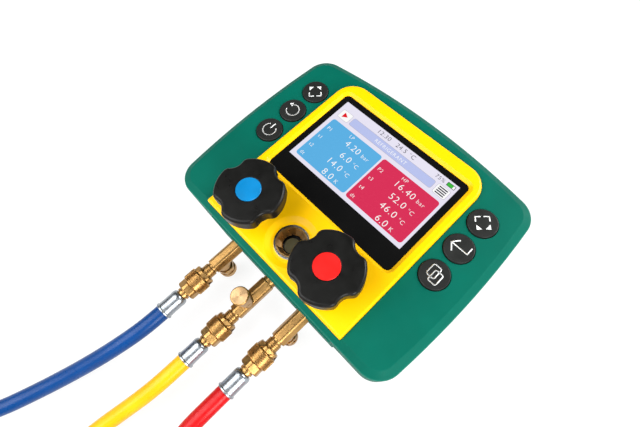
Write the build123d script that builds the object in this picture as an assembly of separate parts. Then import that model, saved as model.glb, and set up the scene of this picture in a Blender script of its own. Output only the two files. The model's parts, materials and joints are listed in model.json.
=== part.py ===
from build123d import *
import os
from math import acos, atan2, ceil, cos, degrees, pi, radians, sin, tan

"""Digital refrigerant manifold gauge lying on its back, in millimetres.

The origin is on the flat back, under the middle of the housing. +Z points out
of the display, +X is the reading direction and +Y is the top of the display.
The hoses leave through the -Y wall, droop to the surface and end in coils.
"""

os.makedirs("parts", exist_ok=True)

# ---------------------------------------------------------------- clearances
seam = 0.15            # between mouldings that nest in one another
running = 0.05         # radial gap of a turning or sliding fit
free_gap = 0.3         # between parts that must never rub
button_gap = 0.35      # round a push button
past = 1.0             # how far a cutter runs beyond the face that it opens

# ---------------------------------------------------------- housing outline
side_x = 107.4         # half width at the widest point
side_bow = 4.4         # how far the sides curve in towards the corners
side_mid_y = -4.0
top_y = 82.7
top_bow = 9.3
bottom_y = -82.7
corner_r = 17.0

# ------------------------------------------------------------- rubber boot
boot_top = 50.5
boot_wall = 4.0
boot_skin = 2.6
boot_lip = 6.0         # how far the boot wraps onto the back
boot_lip_t = 2.0
bevel_in = 5.5         # bevel round the front edge, measured inwards
bevel_drop = 4.0       # and downwards
head_bulge = 1.6       # the boot stands prouder over the hanger
head_bulge_half = 48.0
head_bulge_top = 43.5
foot_bulge = 1.0       # and over the ports
foot_bulge_half = 62.0
foot_bulge_top = 40.0

# -------------------------------------------------------------- housings
wall = 2.4
parting_z = 30.0
floor_t = 4.5
pillar_r = 4.0
pillar_from_side = 19.4
pillar_from_top = 22.7
pillar_from_bottom = 18.7
pillar_taper = 0.4     # the front pillars are this much slimmer

# ----------------------------------------------------------------- screws
screw_r = 1.5
screw_slack = 0.25
screw_head_r = 2.9
screw_head_t = 2.2
screw_bite = 8.0
door_screw_bite = 5.0
block_screw_head_r = 3.6
recess_w = 0.8

# ------------------------------------------------------- raised front panel
panel_half = 67.04
panel_top_y = 69.2
panel_bottom_y = -78.4
panel_corner_r = 17.0
panel_foot_r = 1.2
panel_z = 54.3
panel_round = 2.2
panel_wall = 3.0

# ------------------------------------------------------- window and display
window_half = 59.05
window_bottom_y = -27.3
window_top_y = 56.9
window_r = 4.0
window_t = 2.2
window_z = 52.3        # outer face of the glass
bezel_slope = 2.4      # width of the slope round the glass
ledge_t = 2.4
ledge_w = 3.0
display_half = 57.2
display_bottom_y = -15.0
display_top_y = 54.0
display_t = 3.6

# --------------------------------------------------------------- buttons
button_r = 10.25
button_x = 80.7
button_top_y = 41.8     # upper pair
button_pitch = 24.45
button_z = 51.7
button_flange_r = 11.3
button_flange_t = 1.2
button_stem_r = 2.6
button_travel = 0.8
button_round = 0.8

# ---------------------------------------------------------- circuit board
board_half = 98.0
board_bottom_y = -14.0
board_top_y = 52.0
board_t = 1.6
board_z = 37.0         # lower face
post_r = 2.2
post_x = 95.0
post_y = (30.0, 5.0)
switch_w = 6.2
switch_t = 2.6

# ------------------------------------------------------------- battery bay
cell_r = 9.2           # two round cells side by side in a sleeve
cell_len = 68.0
bay_y = 4.0
bay_gap = 0.6
bay_wall = 2.0
door_margin = 4.0      # the door laps the bay all round
door_t = 1.8
door_head_t = 0.8      # wall left under a door screw's head

# ------------------------------------------------------------------ hanger
wire_r = 2.0
hanger_half = 24.0     # to the middle of each leg
hanger_reach = 29.0    # pivot to the middle of the cross bar
hanger_bend_r = 7.0
hanger_knee_r = 3.2
hanger_pin = 5.0
hanger_y = 66.0
hanger_z = 3.3
pocket_z = 6.6
pocket_side = 3.4      # leg centre to the side of the pocket
pocket_end = 6.0
pocket_wall = 2.2

# ---------------------------------------------------------- manifold block
valve_x = 35.7
valve_y = -56.3
block_half = 51.0
block_back_y = -37.0
block_front_y = -75.5
block_bottom_z = 10.0
block_top_z = 42.0
block_chamfer = 1.5
side_port_z = 28.0
centre_port_z = 23.0
port_r = 5.25
port_depth = 13.0
passage_r = 2.6
riser_r = 3.0
gallery_r = 2.2
gallery_z = 16.0
seat_z = 21.0
pad_half_x = 7.0
pad_half_y = 14.0
pad_x = 18.0
block_screw_r = 1.9
block_screw_y = 10.0
block_screw_bite = 7.0
sensor_r = 7.0
sensor_hex = 13.6
sensor_hex_len = 6.0
sensor_len = 16.0
sensor_thread_r = 4.0
sensor_bite = 6.0
sensor_passage_r = 1.5

# ------------------------------------------------------------- hand valves
spindle_r = 5.0
stem_r = 4.0
nose_r = 3.0
piston_r = 5.9
piston_nose_r = 4.6
piston_tip_r = 2.2
piston_len = 14.0
piston_guide = 4.0
socket_depth = 6.5
bonnet_r = 11.6
bonnet_neck_r = 8.4
bonnet_thread_r = 8.0
bonnet_bite = 4.4
bonnet_tall = 15.5             # its flange, above the block
bonnet_neck_tall = 8.5
thread_pitch = 1.25
valve_turns = 1.5
knob_r = 23.4
knob_over_bonnet = 5.5
knob_tall = 10.3
knob_hub_r = 11.0
knob_hub_gap = 0.8
notch_r = 8.5
notch_depth = 3.4
notch_soft = 5.0
knob_round = 2.2
knob_wall = 2.4
knob_roof = 3.4
knob_rib = 1.6
cap_r = 8.42
cap_t = 2.2
cap_proud = 0.3
knob_screw_r = 1.6
knob_screw_head_r = 3.3
knob_screw_head_t = 2.4
knob_screw_bite = 9.0
knob_angle = {"blue": -106.3, "red": -106.8}   # first notch, from +X

# -------------------------------------------------------------- sight glass
sight_y = -57.0
dish_r = 18.6
dish_foot_r = 14.4
dish_depth = 1.9
bezel_r = 12.6
bezel_lip = 1.5
bezel_t = 1.4
sight_nut_r = 10.9
sight_mouth_r = 10.2
sight_throat_r = 7.6
sight_funnel = 5.0
sight_bore_r = 9.0
sight_floor_z = 30.0
sight_thread_z = 34.0
lens_r = 7.2
lens_t = 5.0

# ---------------------------------------------------------------- adapters
hex_across = 11.0
hex_corner = 0.35       # the bar's corners are broken by this much
hex_len = 30.0
hex_start_y = -76.8
centre_reach = 9.4     # the centre adapter sits this much further out
adapter_neck_r = 5.0
adapter_neck_len = 15.8
centre_neck_r = 4.85
flare = 2.2            # length of the cone that seals in the hose's fitting
adapter_bore_r = 2.2
groove_depth = 0.7
groove_w = 1.6
stub_y = {"blue": -100.6, "yellow": -105.6, "red": -100.6}
stub_side = {"blue": -1, "yellow": 1, "red": -1}    # below or above
hex_turn = {"blue": 30.0, "yellow": 0.0, "red": 30.0}
stub_root_r = 5.2
stub_root_len = 10.0
stub_r = 4.4
stub_len = 19.0
stub_cap_r = 6.5
stub_cap_start = 10.6
stub_cap_end = 22.0
stub_cap_hex = 11.6
stub_cap_hex_len = 6.0
stub_cap_roof = 2.0
core_r = 1.9
core_len = 12.0
port_hole_r = 8.2

# --------------------------------------------------------------- hose ends
hose_r = 5.8
ferrule_r = 6.1
ferrule_len = 16.4
ferrule_flange_r = 6.8
ferrule_flange_t = 1.4
ferrule_nose = 1.0
tail_r = 3.85
tail_bore_r = 2.0
tail_collar_r = 4.8
tail_collar_t = 1.4
tail_head_r = 5.2
tail_head_t = 2.6
nut_start = 20.0       # measured from the end of the hose
nut_hex = 14.2
nut_hex_len = 5.6
nut_barrel_r = 8.4
nut_barrel_len = 9.6
nut_collar_hex = 14.4
nut_collar_len = 3.4
nut_bore_r = 5.6
nut_relief = 0.35      # undercut behind the thread

# ------------------------------------------------------------------ hoses
hose_length = 823.0    # between the ferrules, 900 over the fittings
turn_share = 0.45      # of the shorter run, used by each bend
coil_round = 4.5
coil_climb = 300.0     # degrees from where one turn starts to where the next lies on it
turn_sink = 0.2        # how far a turn beds into the one below
end_rise = 3.2         # the last of the hose lifts to lay its nut on the coil
end_tuck = 6.0         # and runs in a little
end_sweep = 60.0       # over this many degrees

routes = {
    "blue": [(-35.7, -166, 28), (-39.5, -186, 25), (-46.5, -209, 18.5),
             (-55.5, -234, 11.5), (-65, -260, 7), (-74, -285, 5.8),
             (-88, -309, 5.8), (-105, -333, 5.8)],
    "yellow": [(0, -177, 23), (-2, -194, 19.5), (-6, -213, 14.5),
               (-10.5, -234, 9.5), (-13, -257, 6.4), (-14.5, -282, 5.8),
               (-17, -308, 5.8), (-14.8, -332, 5.8)],
    "red": [(35.7, -167, 28), (35.2, -184, 25), (36.5, -203, 19),
            (42, -222, 12), (52, -240, 6.8)],
}
coil_centre = {"blue": (-70, -385), "yellow": (50.5, -336), "red": (112.3, -216.7)}
coil_entry = {"blue": 150.0, "yellow": 200.0, "red": 225.0}
coil_mid_r = {"blue": 58.0, "yellow": 59.5, "red": 58.0}

colours = ("blue", "yellow", "red")
valve_side = {"blue": -1, "red": 1}
port_x = {"blue": -valve_x, "yellow": 0.0, "red": valve_x}
port_z = {"blue": side_port_z, "yellow": centre_port_z, "red": side_port_z}
port_reach = {"blue": 0.0, "yellow": centre_reach, "red": 0.0}


# ------------------------------------------------------------ basic shapes
def rod(radius, z_low, z_high, x=0.0, y=0.0):
    """Upright cylinder between two heights."""
    centre = (x, y, (z_low + z_high) / 2)
    return Pos(*centre) * Cylinder(radius, z_high - z_low)


def block_of(x_low, x_high, y_low, y_high, z_low, z_high):
    """Box given by its limits."""
    size = (x_high - x_low, y_high - y_low, z_high - z_low)
    middle = ((x_low + x_high) / 2, (y_low + y_high) / 2, (z_low + z_high) / 2)
    return Pos(*middle) * Box(*size)


def rod_y(radius, y_low, y_high, x, z):
    """Cylinder along Y."""
    return Pos(x, (y_low + y_high) / 2, z) * Rot(90, 0, 0) * Cylinder(radius, y_high - y_low)


def hexagon(across, z_low, z_high, corner=0.0):
    """Upright hexagonal bar with a flat facing +X, its corners turned off a little."""
    flat = RegularPolygon(across / 2, 6, major_radius=False, rotation=30)
    bar = extrude(Pos(0, 0, z_low) * flat, z_high - z_low)
    if corner:
        cone = rod(across / 2 + corner, z_low, z_high)
        cone = chamfer(cone.edges().filter_by(GeomType.CIRCLE), corner)
        bar = bar & cone
    return bar


def turned(points):
    """Solid of revolution about Z from (radius, height) points."""
    profile = Polyline([(r, 0, z) for r, z in points], close=True)
    return revolve(make_face(profile), Axis.Z)


def rounded_rectangle(x_half, y_low, y_high, z, radius):
    """Horizontal rounded rectangle centred on X."""
    shape = RectangleRounded(2 * x_half, y_high - y_low, radius)
    return Pos(0, (y_low + y_high) / 2, z) * shape


def housing_face(inset, z=0.0):
    """Bowed outline of the housing, drawn in by an inset."""
    foot_x = side_x - side_bow - inset
    foot_y = bottom_y + inset
    head_y = top_y - top_bow - inset
    foot_left, foot_right = (-foot_x, foot_y), (foot_x, foot_y)
    head_left, head_right = (-foot_x, head_y), (foot_x, head_y)
    edges = [
        Line(foot_left, foot_right),
        ThreePointArc(foot_right, (side_x - inset, side_mid_y), head_right),
        ThreePointArc(head_right, (0, top_y - inset), head_left),
        ThreePointArc(head_left, (inset - side_x, side_mid_y), foot_left),
    ]
    face = make_face(edges)
    face = fillet(face.vertices(), corner_r - inset)
    return Pos(0, 0, z) * face


def panel_face(inset, z=0.0):
    """Outline of the raised panel: round shoulders and square feet."""
    half = panel_half - inset
    head, foot = panel_top_y - inset, panel_bottom_y + inset
    face = make_face(Polyline((-half, foot), (half, foot), (half, head), (-half, head), close=True))
    feet = face.vertices().sort_by(Axis.Y)[:2]
    face = fillet(feet, max(panel_foot_r - inset, panel_foot_r / 2))
    shoulders = face.vertices().sort_by(Axis.Y)[-2:]
    face = fillet(shoulders, panel_corner_r - inset)
    return Pos(0, 0, z) * face


def slab(face_of, inset, z_low, z_high):
    """Prism of an outline between two heights."""
    return extrude(face_of(inset, z_low), z_high - z_low)


# ------------------------------------------------------------ derived sizes
bottom_up = (Align.CENTER, Align.CENTER, Align.MIN)
pillar_x = side_x - pillar_from_side
pillar_top_y = top_y - pillar_from_top
pillar_bottom_y = bottom_y + pillar_from_bottom
button_y = {"upper": button_top_y, "middle": button_top_y - button_pitch,
            "lower": button_top_y - 2 * button_pitch}
deck_z = boot_top - boot_skin - seam          # top of the wings of the front housing
shell_inset = boot_wall + seam
wall_inset = shell_inset + wall
window_back_z = window_z - window_t
frame_z = window_back_z - ledge_t
button_flange_z = deck_z - wall - free_gap
board_top_z = board_z + board_t
switch_z = board_top_z + switch_t
button_stem_z = switch_z + button_travel + running
valve_lift = thread_pitch * valve_turns
bonnet_foot_z = block_top_z - bonnet_bite
bonnet_flange_z = block_top_z + bonnet_tall
bonnet_top_z = bonnet_flange_z + bonnet_neck_tall
piston_z = seat_z + free_gap
piston_top_z = piston_z + piston_len
chamber_r = piston_r + running
socket_z = piston_top_z - socket_depth
knob_foot_z = bonnet_top_z + knob_hub_gap
knob_base_z = bonnet_top_z + knob_over_bonnet
knob_z = knob_base_z + knob_tall
cap_seat_z = knob_z + cap_proud - cap_t
screw_seat_z = cap_seat_z - knob_screw_head_t - free_gap
sight_z = panel_z - dish_depth
lens_z = sight_z - sight_funnel - lens_t
bay_x = cell_len / 2 + bay_gap
bay_half_y = 2 * cell_r + bay_gap
bay_roof_z = door_t + seam + 2 * cell_r + bay_gap
door_x = bay_x + door_margin
door_half_y = bay_half_y + door_margin
door_screw_x = bay_x + bay_wall + 3.2
nut_end = nut_start + nut_hex_len + nut_barrel_len + nut_collar_len
nut_floor = nut_start + nut_hex_len + 1.0
tail_head = nut_floor + free_gap
tail_end = tail_head + tail_head_t
adapter_tip = tail_end + free_gap
hose_start = hex_len + adapter_neck_len + adapter_tip   # along an adapter, from its hexagon


def pillars():
    """Centres of the four housing screws."""
    return [(x, y) for x in (-pillar_x, pillar_x) for y in (pillar_bottom_y, pillar_top_y)]


def button_places():
    """Name and centre of each push button."""
    names = {(-1, "upper"): "button_select_left", (-1, "middle"): "button_refresh",
             (-1, "lower"): "button_power", (1, "upper"): "button_select_right",
             (1, "middle"): "button_return", (1, "lower"): "button_pages"}
    return {name: (side * button_x, button_y[row]) for (side, row), name in names.items()}


def port_cutters(radius):
    """Round holes for the three adapters through the bottom wall."""
    inner = block_front_y + free_gap
    return [rod_y(radius, bottom_y - foot_bulge - past, inner, port_x[c], port_z[c]) for c in colours]


# ------------------------------------------------------------------- boot
def hanger_slots():
    """Notches in the top edge that let the hanger's legs swing right over."""
    low = hanger_y - wire_r - free_gap
    reach = top_y + head_bulge + past
    gap = wire_r + free_gap
    return [block_of(s * hanger_half - gap, s * hanger_half + gap, low, reach, -past, pocket_z)
            for s in (-1, 1)]


def boot():
    """Rubber boot: bevelled outer skin round both housings, open at the back."""
    shoulder_z = boot_top - bevel_drop
    body = slab(housing_face, 0, 0, shoulder_z)
    body += loft([housing_face(0, shoulder_z), housing_face(bevel_in, boot_top)], ruled=True)
    head = Pos(0, head_bulge, 0) * slab(housing_face, 0, 0, head_bulge_top)
    body += head & block_of(-head_bulge_half, head_bulge_half, 0, 2 * top_y, -past, boot_top)
    foot = Pos(0, -foot_bulge, 0) * slab(housing_face, 0, 0, foot_bulge_top)
    body += foot & block_of(-foot_bulge_half, foot_bulge_half, 2 * bottom_y, 0, -past, boot_top)
    body -= slab(housing_face, boot_wall, boot_lip_t, boot_top - boot_skin)
    body -= slab(housing_face, boot_wall + boot_lip, -past, boot_lip_t + past)
    body -= slab(panel_face, -seam, boot_top - boot_skin - past, boot_top + past)
    for x, y in button_places().values():
        body -= rod(button_r + button_gap, boot_top - boot_skin - past, boot_top + past, x, y)
    for hole in port_cutters(port_hole_r) + hanger_slots():
        body -= hole
    return body


# -------------------------------------------------------------- housings
def hanger_pocket(grow, z_low, z_high):
    """Box of the pocket that takes the folded hanger."""
    side = hanger_half + pocket_side + grow
    low = hanger_y - hanger_reach - pocket_end - grow
    high = hanger_y + wire_r + free_gap + past + grow
    return block_of(-side, side, low, high, z_low, z_high)


def bay(grow, z_low, z_high):
    """Box of the battery bay."""
    return block_of(-bay_x - grow, bay_x + grow, bay_y - bay_half_y - grow,
                    bay_y + bay_half_y + grow, z_low, z_high)


def door_plate(grow, z_low, z_high):
    """Rounded plate of the battery door, with an ear at each end for its screw."""
    plate = rounded_rectangle(door_x + grow, bay_y - door_half_y - grow, bay_y + door_half_y + grow,
                              z_low, door_margin)
    body = extrude(plate, z_high - z_low)
    for x, y in door_screw_places():
        body += rod(screw_head_r + 2 + grow, z_low, z_high, x, y)
    return body


def door_screw_places():
    """The two screws at the short ends of the battery door."""
    return [(-door_screw_x, bay_y), (door_screw_x, bay_y)]


def block_screw_places():
    """The four screws that hold the manifold block."""
    return [(sx * pad_x, valve_y + sy * block_screw_y) for sx in (-1, 1) for sy in (-1, 1)]


def board_posts():
    """Centres of the posts that grip the circuit board."""
    return [(s * post_x, y) for s in (-1, 1) for y in post_y]


def rear_shell():
    """Rear housing: tray with screw pillars, battery bay, hanger pocket and block pads."""
    body = slab(housing_face, shell_inset, boot_lip_t + seam, parting_z)
    body -= slab(housing_face, wall_inset, floor_t, parting_z + past)
    body += slab(housing_face, shell_inset + boot_lip, 0, floor_t)
    for x, y in pillars():
        body += rod(pillar_r, floor_t - past, parting_z, x, y)
    for x, y in board_posts():
        body += rod(post_r, floor_t - past, board_z, x, y)
    for x, y in door_screw_places():
        body += rod(pillar_r, floor_t - past, door_t + door_screw_bite + 2, x, y)
    body += bay(bay_wall, floor_t - past, bay_roof_z + bay_wall)
    pins = hanger_half + pocket_side + hanger_pin + pocket_wall
    body += hanger_pocket(pocket_wall, floor_t - past, pocket_z + pocket_wall)
    body += block_of(-pins, pins, hanger_y - pocket_end, hanger_y + pocket_end / 2, floor_t - past,
                     pocket_z + pocket_wall)
    for s in (-1, 1):
        body += block_of(s * pad_x - pad_half_x, s * pad_x + pad_half_x, valve_y - pad_half_y,
                         valve_y + pad_half_y, floor_t - past, block_bottom_z)
    body -= hanger_pocket(0, -past, pocket_z)
    pins -= pocket_wall
    body -= Pos(0, hanger_y, hanger_z) * Rot(0, 90, 0) * Cylinder(wire_r + running, 2 * pins)
    body -= bay(0, -past, bay_roof_z)
    body -= door_plate(seam, -past, door_t + seam)
    for x, y in door_screw_places():
        body -= rod(screw_r + running, 0, door_t + door_screw_bite + 0.5, x, y)
    for hole in hanger_slots() + port_cutters(port_hole_r):
        body -= hole
    for x, y in pillars():
        body -= rod(screw_r + screw_slack, -past, parting_z + past, x, y)
        body -= rod(screw_head_r + screw_slack, -past, screw_head_t + free_gap, x, y)
    for x, y in block_screw_places():
        body -= rod(block_screw_r + screw_slack, -past, block_bottom_z + past, x, y)
        body -= rod(block_screw_head_r + screw_slack, -past, screw_head_t + free_gap, x, y)
    return body


def window_frame():
    """Ledge that carries the glass from behind."""
    grow = bezel_slope + ledge_w
    ring = rounded_rectangle(window_half + grow, window_bottom_y - grow, window_top_y + grow,
                             frame_z, window_r + grow)
    return extrude(ring, panel_z - panel_wall / 2 - frame_z)


def window_cut():
    """Opening over the display, seat of the glass and the slope round it."""
    inner = rounded_rectangle(window_half - ledge_w, window_bottom_y + ledge_w,
                              window_top_y - ledge_w, frame_z - past, window_r)
    seat = rounded_rectangle(window_half + seam, window_bottom_y - seam, window_top_y + seam,
                             window_back_z, window_r + seam)
    foot = rounded_rectangle(window_half + seam, window_bottom_y - seam, window_top_y + seam,
                             window_z, window_r + seam)
    slope = seam + bezel_slope
    rim = rounded_rectangle(window_half + slope, window_bottom_y - slope, window_top_y + slope,
                            panel_z, window_r + slope)
    cut = extrude(inner, window_t + ledge_t + 2)
    cut += extrude(seat, window_t)
    cut += loft([foot, rim], ruled=True)
    return cut


def dish():
    """Round hollow about the sight glass."""
    cone = turned([(0, sight_z), (dish_foot_r, sight_z), (dish_r, panel_z), (dish_r, panel_z + past),
                   (0, panel_z + past)])
    return Pos(0, sight_y, 0) * cone


def front_housing():
    """Front housing: wings under the boot and the raised panel with its window."""
    body = slab(housing_face, shell_inset, parting_z, deck_z)
    body -= slab(housing_face, wall_inset, parting_z - past, deck_z - wall)
    raised = slab(panel_face, 0, deck_z - wall, panel_z)
    brow = raised.faces().sort_by(Axis.Z)[-1]
    body += fillet(brow.edges(), panel_round)
    body -= slab(panel_face, panel_wall, parting_z - past, panel_z - panel_wall)
    body += window_frame()
    body += Pos(0, sight_y, 0) * Cylinder(dish_r, 2 * panel_wall, align=bottom_up).moved(
        Pos(0, 0, sight_z - panel_wall)) & slab(panel_face, panel_wall / 2, parting_z, panel_z - past)
    body -= window_cut()
    body -= dish()
    body -= rod(sight_nut_r + free_gap, parting_z, panel_z + past, 0, sight_y)
    for s in (-1, 1):
        body -= rod(bonnet_r + free_gap, parting_z, panel_z + past, s * valve_x, valve_y)
    for x, y in button_places().values():
        body -= rod(button_r + button_gap, deck_z - wall - past, deck_z + past, x, y)
    for x, y in pillars():
        body += rod(pillar_r - pillar_taper, parting_z, deck_z - wall / 2, x, y)
        body -= rod(screw_r + running, parting_z - past, parting_z + screw_bite + past, x, y)
    for x, y in board_posts():
        body += rod(post_r, board_top_z, deck_z - wall / 2, x, y)
    for hole in port_cutters(port_hole_r):
        body -= hole
    return body




def battery_door():
    """Flush door over the battery bay."""
    body = door_plate(0, 0, door_t)
    for x, y in door_screw_places():
        body -= rod(screw_r + screw_slack, -past, door_t + past, x, y)
        body -= rod(screw_head_r + screw_slack, -past, door_t / 2, x, y)
    return body


def battery_pack():
    """Two round cells side by side in one shrunk sleeve."""
    middle_z = door_t + seam + bay_gap / 2 + cell_r
    across = 2 * cell_r
    section = SlotCenterToCenter(across, across)
    body = extrude(section, cell_len / 2, both=True)
    body = fillet(body.edges().filter_by(GeomType.LINE, reverse=True), 1.0)
    return Pos(0, bay_y, middle_z) * Rot(0, 0, 90) * Rot(90, 0, 0) * body


# ----------------------------------------------------------------- screws
def screw(radius, head_r, head_t, z_head, z_tip, x, y):
    """Screw driven upwards, with a cross recess in its head."""
    body = rod(head_r, z_head, z_head + head_t, x, y) + rod(radius, z_head, z_tip, x, y)
    for turn in (0, 90):
        body -= Pos(x, y, z_head) * Rot(0, 0, turn) * Box(1.3 * head_r, recess_w, head_t)
    return body


def case_screws():
    """Four screws through the pillars and two in the battery door."""
    tip = parting_z + screw_bite
    screws = [screw(screw_r, screw_head_r, screw_head_t, free_gap, tip, x, y) for x, y in pillars()]
    tip = door_t + door_screw_bite
    low = door_t / 2 - door_head_t
    screws += [screw(screw_r, screw_head_r, door_head_t, low, tip, x, y)
               for x, y in door_screw_places()]
    return screws




def block_screws():
    """Four screws through the back into the manifold block."""
    tip = block_bottom_z + block_screw_bite
    return [screw(block_screw_r, block_screw_head_r, screw_head_t, free_gap, tip, x, y)
            for x, y in block_screw_places()]


# ------------------------------------------------------ window and display
def window_glass():
    """Flat glass with rounded corners."""
    face = rounded_rectangle(window_half, window_bottom_y, window_top_y, window_back_z, window_r)
    body = extrude(face, window_t)
    return chamfer(body.faces().sort_by(Axis.Z)[-1].edges(), 0.3)


def display_module():
    """Display panel behind the ledge."""
    top = frame_z - free_gap
    return block_of(-display_half, display_half, display_bottom_y, display_top_y, top - display_t, top)


def circuit_board():
    """Board with a key switch under each button."""
    body = block_of(-board_half, board_half, board_bottom_y, board_top_y, board_z, board_top_z)
    half = switch_w / 2
    for x, y in button_places().values():
        body += block_of(x - half, x + half, y - half, y + half, board_top_z, switch_z - 0.8)
        body += rod(half * 0.55, board_top_z, switch_z, x, y)
    return body


def button(x, y):
    """Round key with a flange under the front housing and a stem to its switch."""
    body = rod(button_r, button_flange_z - button_flange_t, button_z, x, y)
    body = fillet(body.faces().sort_by(Axis.Z)[-1].edges(), button_round)
    body += rod(button_flange_r, button_flange_z - button_flange_t, button_flange_z, x, y)
    body += rod(button_stem_r, button_stem_z, button_flange_z, x, y)
    return body


# ------------------------------------------------------------------ hanger
def hanger():
    """Bail of round rod, folded flat into its pocket."""
    end = hanger_half + pocket_side + hanger_pin - free_gap
    low = hanger_y - hanger_reach
    points = [(-end, hanger_y), (-hanger_half, hanger_y), (-hanger_half, low), (hanger_half, low),
              (hanger_half, hanger_y), (end, hanger_y)]
    radii = [hanger_knee_r, hanger_bend_r, hanger_bend_r, hanger_knee_r]
    path = FilletPolyline(*[(x, y, hanger_z) for x, y in points], radius=radii)
    return sweep(Plane(points_to_3d(points[0]), z_dir=(1, 0, 0)) * Circle(wire_r), path=path)


def points_to_3d(point):
    """Lift a plan point to the hanger's height."""
    return (point[0], point[1], hanger_z)


# ---------------------------------------------------------- manifold block
def manifold_block():
    """Drilled and tapped block: two valve chambers, three ports and the sight glass."""
    body = block_of(-block_half, block_half, block_front_y, block_back_y, block_bottom_z, block_top_z)
    body = chamfer(body.edges().filter_by(Axis.Z), block_chamfer)
    for c in colours:
        body -= rod_y(port_r, block_front_y - past, block_front_y + port_depth, port_x[c], port_z[c])
        body -= rod_y(passage_r, block_front_y + past, sight_y if c == "yellow" else valve_y,
                      port_x[c], port_z[c])
    for s in (-1, 1):
        x = s * valve_x
        body -= rod(chamber_r, seat_z, block_top_z, x, valve_y)
        body -= rod(bonnet_thread_r + running, bonnet_foot_z, block_top_z + past, x, valve_y)
        body -= rod(riser_r, gallery_z, seat_z + past, x, valve_y)
        body -= rod_y(sensor_thread_r + running, block_back_y - sensor_bite - 0.5, block_back_y + past,
                      x, side_port_z)
        body -= rod_y(sensor_passage_r, valve_y, block_back_y, x, side_port_z)
    body -= Pos(0, valve_y, gallery_z) * Rot(0, 90, 0) * Cylinder(gallery_r, 2 * valve_x)
    body -= rod(riser_r, gallery_z, block_top_z, 0, sight_y)
    body -= rod(sight_bore_r, sight_floor_z, block_top_z + past, 0, sight_y)
    for x, y in block_screw_places():
        body -= rod(block_screw_r + running, block_bottom_z - past, block_bottom_z + block_screw_bite + past,
                    x, y)
    return body


def pressure_sensors():
    """Two sensors screwed into the back of the block, one for each side."""
    shaft = hexagon(sensor_hex, 0, sensor_hex_len, 0.6)
    shaft += rod(sensor_r, sensor_hex_len, sensor_len)
    shaft += rod(sensor_thread_r, -sensor_bite, 0)
    seat = [Plane((s * valve_x, block_back_y, side_port_z), x_dir=(1, 0, 0), z_dir=(0, 1, 0))
            for s in (-1, 1)]
    return [plane.location * shaft for plane in seat]


# ------------------------------------------------------------- hand valves
def bonnet(x):
    """Plated collar that guides the spindle and closes the chamber."""
    bore = spindle_r + running
    body = turned([(bore, bonnet_foot_z), (bonnet_thread_r, bonnet_foot_z),
                   (bonnet_thread_r, block_top_z), (bonnet_r, block_top_z),
                   (bonnet_r, bonnet_flange_z - past), (bonnet_r - past, bonnet_flange_z),
                   (bonnet_neck_r, bonnet_flange_z), (bonnet_neck_r, bonnet_top_z),
                   (bore, bonnet_top_z)])
    return Pos(x, valve_y, 0) * body


def piston(x):
    """Valve piston: a guide above and a nose that closes the seat."""
    socket = nose_r + running
    body = turned([(0, piston_z), (piston_tip_r, piston_z),
                   (piston_nose_r, piston_z + piston_nose_r - piston_tip_r),
                   (piston_nose_r, piston_top_z - piston_guide), (piston_r, piston_top_z - piston_guide),
                   (piston_r, piston_top_z), (socket, piston_top_z), (socket, socket_z), (0, socket_z)])
    return Pos(x, valve_y, 0) * body


def spindle(x):
    """Spindle from the piston's socket up into the knob."""
    shoulder = piston_top_z + valve_lift + 2 * free_gap
    top = screw_seat_z - past
    body = turned([(0, socket_z + free_gap), (nose_r, socket_z + free_gap), (nose_r, shoulder),
                   (spindle_r, shoulder), (spindle_r, bonnet_top_z), (stem_r, bonnet_top_z),
                   (stem_r, top), (0, top)])
    body -= rod(knob_screw_r + running, top - knob_screw_bite, top + past)
    return Pos(x, valve_y, 0) * body


def knob_outline(radius, depth):
    """Round knob outline with four shallow scallops, the first facing +X."""
    face = Sketch() + Circle(radius)
    away = radius - depth + notch_r
    face -= [Rot(0, 0, turn) * Pos(away, 0) * Circle(notch_r) for turn in (0, 90, 180, 270)]
    return fillet(face.vertices(), notch_soft)


def knob(colour):
    """Moulded hand knob, hollow underneath round its hub."""
    body = extrude(Pos(0, 0, knob_base_z) * knob_outline(knob_r, notch_depth), knob_z - knob_base_z)
    body = fillet(body.faces().sort_by(Axis.Z)[-1].edges(), knob_round)
    hollow = rod(knob_r - notch_depth - knob_wall, knob_base_z - past, knob_z - knob_roof)
    body -= hollow - rod(knob_hub_r, knob_base_z - past, knob_z)
    for turn in (0, 45, 90, 135):
        rib = block_of(-knob_r + notch_depth + past, knob_r - notch_depth - past, -knob_rib / 2,
                       knob_rib / 2, knob_base_z + past, knob_z - knob_roof + past)
        body += Rot(0, 0, turn + 45 / 2) * rib
    body += rod(knob_hub_r, knob_foot_z, knob_base_z + past)
    body -= rod(stem_r + running, knob_foot_z - past, screw_seat_z - past + running)
    body -= rod(knob_screw_r + screw_slack, screw_seat_z - 2, screw_seat_z + past)
    body -= rod(knob_screw_head_r + screw_slack, screw_seat_z, knob_z)
    body -= rod(cap_r + running, cap_seat_z, knob_z + past)
    return Pos(valve_side[colour] * valve_x, valve_y, 0) * Rot(0, 0, knob_angle[colour]) * body




def knob_cap(x):
    """Coloured disc pressed into the knob."""
    body = rod(cap_r, cap_seat_z, knob_z + cap_proud)
    body = chamfer(body.faces().sort_by(Axis.Z)[-1].edges(), cap_proud)
    return Pos(x, valve_y, 0) * body


def knob_screw(x):
    """Screw that holds the knob on its spindle."""
    tip = screw_seat_z - knob_screw_bite
    body = rod(knob_screw_head_r, screw_seat_z, screw_seat_z + knob_screw_head_t)
    body += rod(knob_screw_r, tip, screw_seat_z)
    for turn in (0, 90):
        top = Pos(0, 0, screw_seat_z + knob_screw_head_t)
        body -= top * Rot(0, 0, turn) * Box(1.3 * knob_screw_head_r, recess_w, knob_screw_head_t)
    return Pos(x, valve_y, 0) * body


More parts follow.
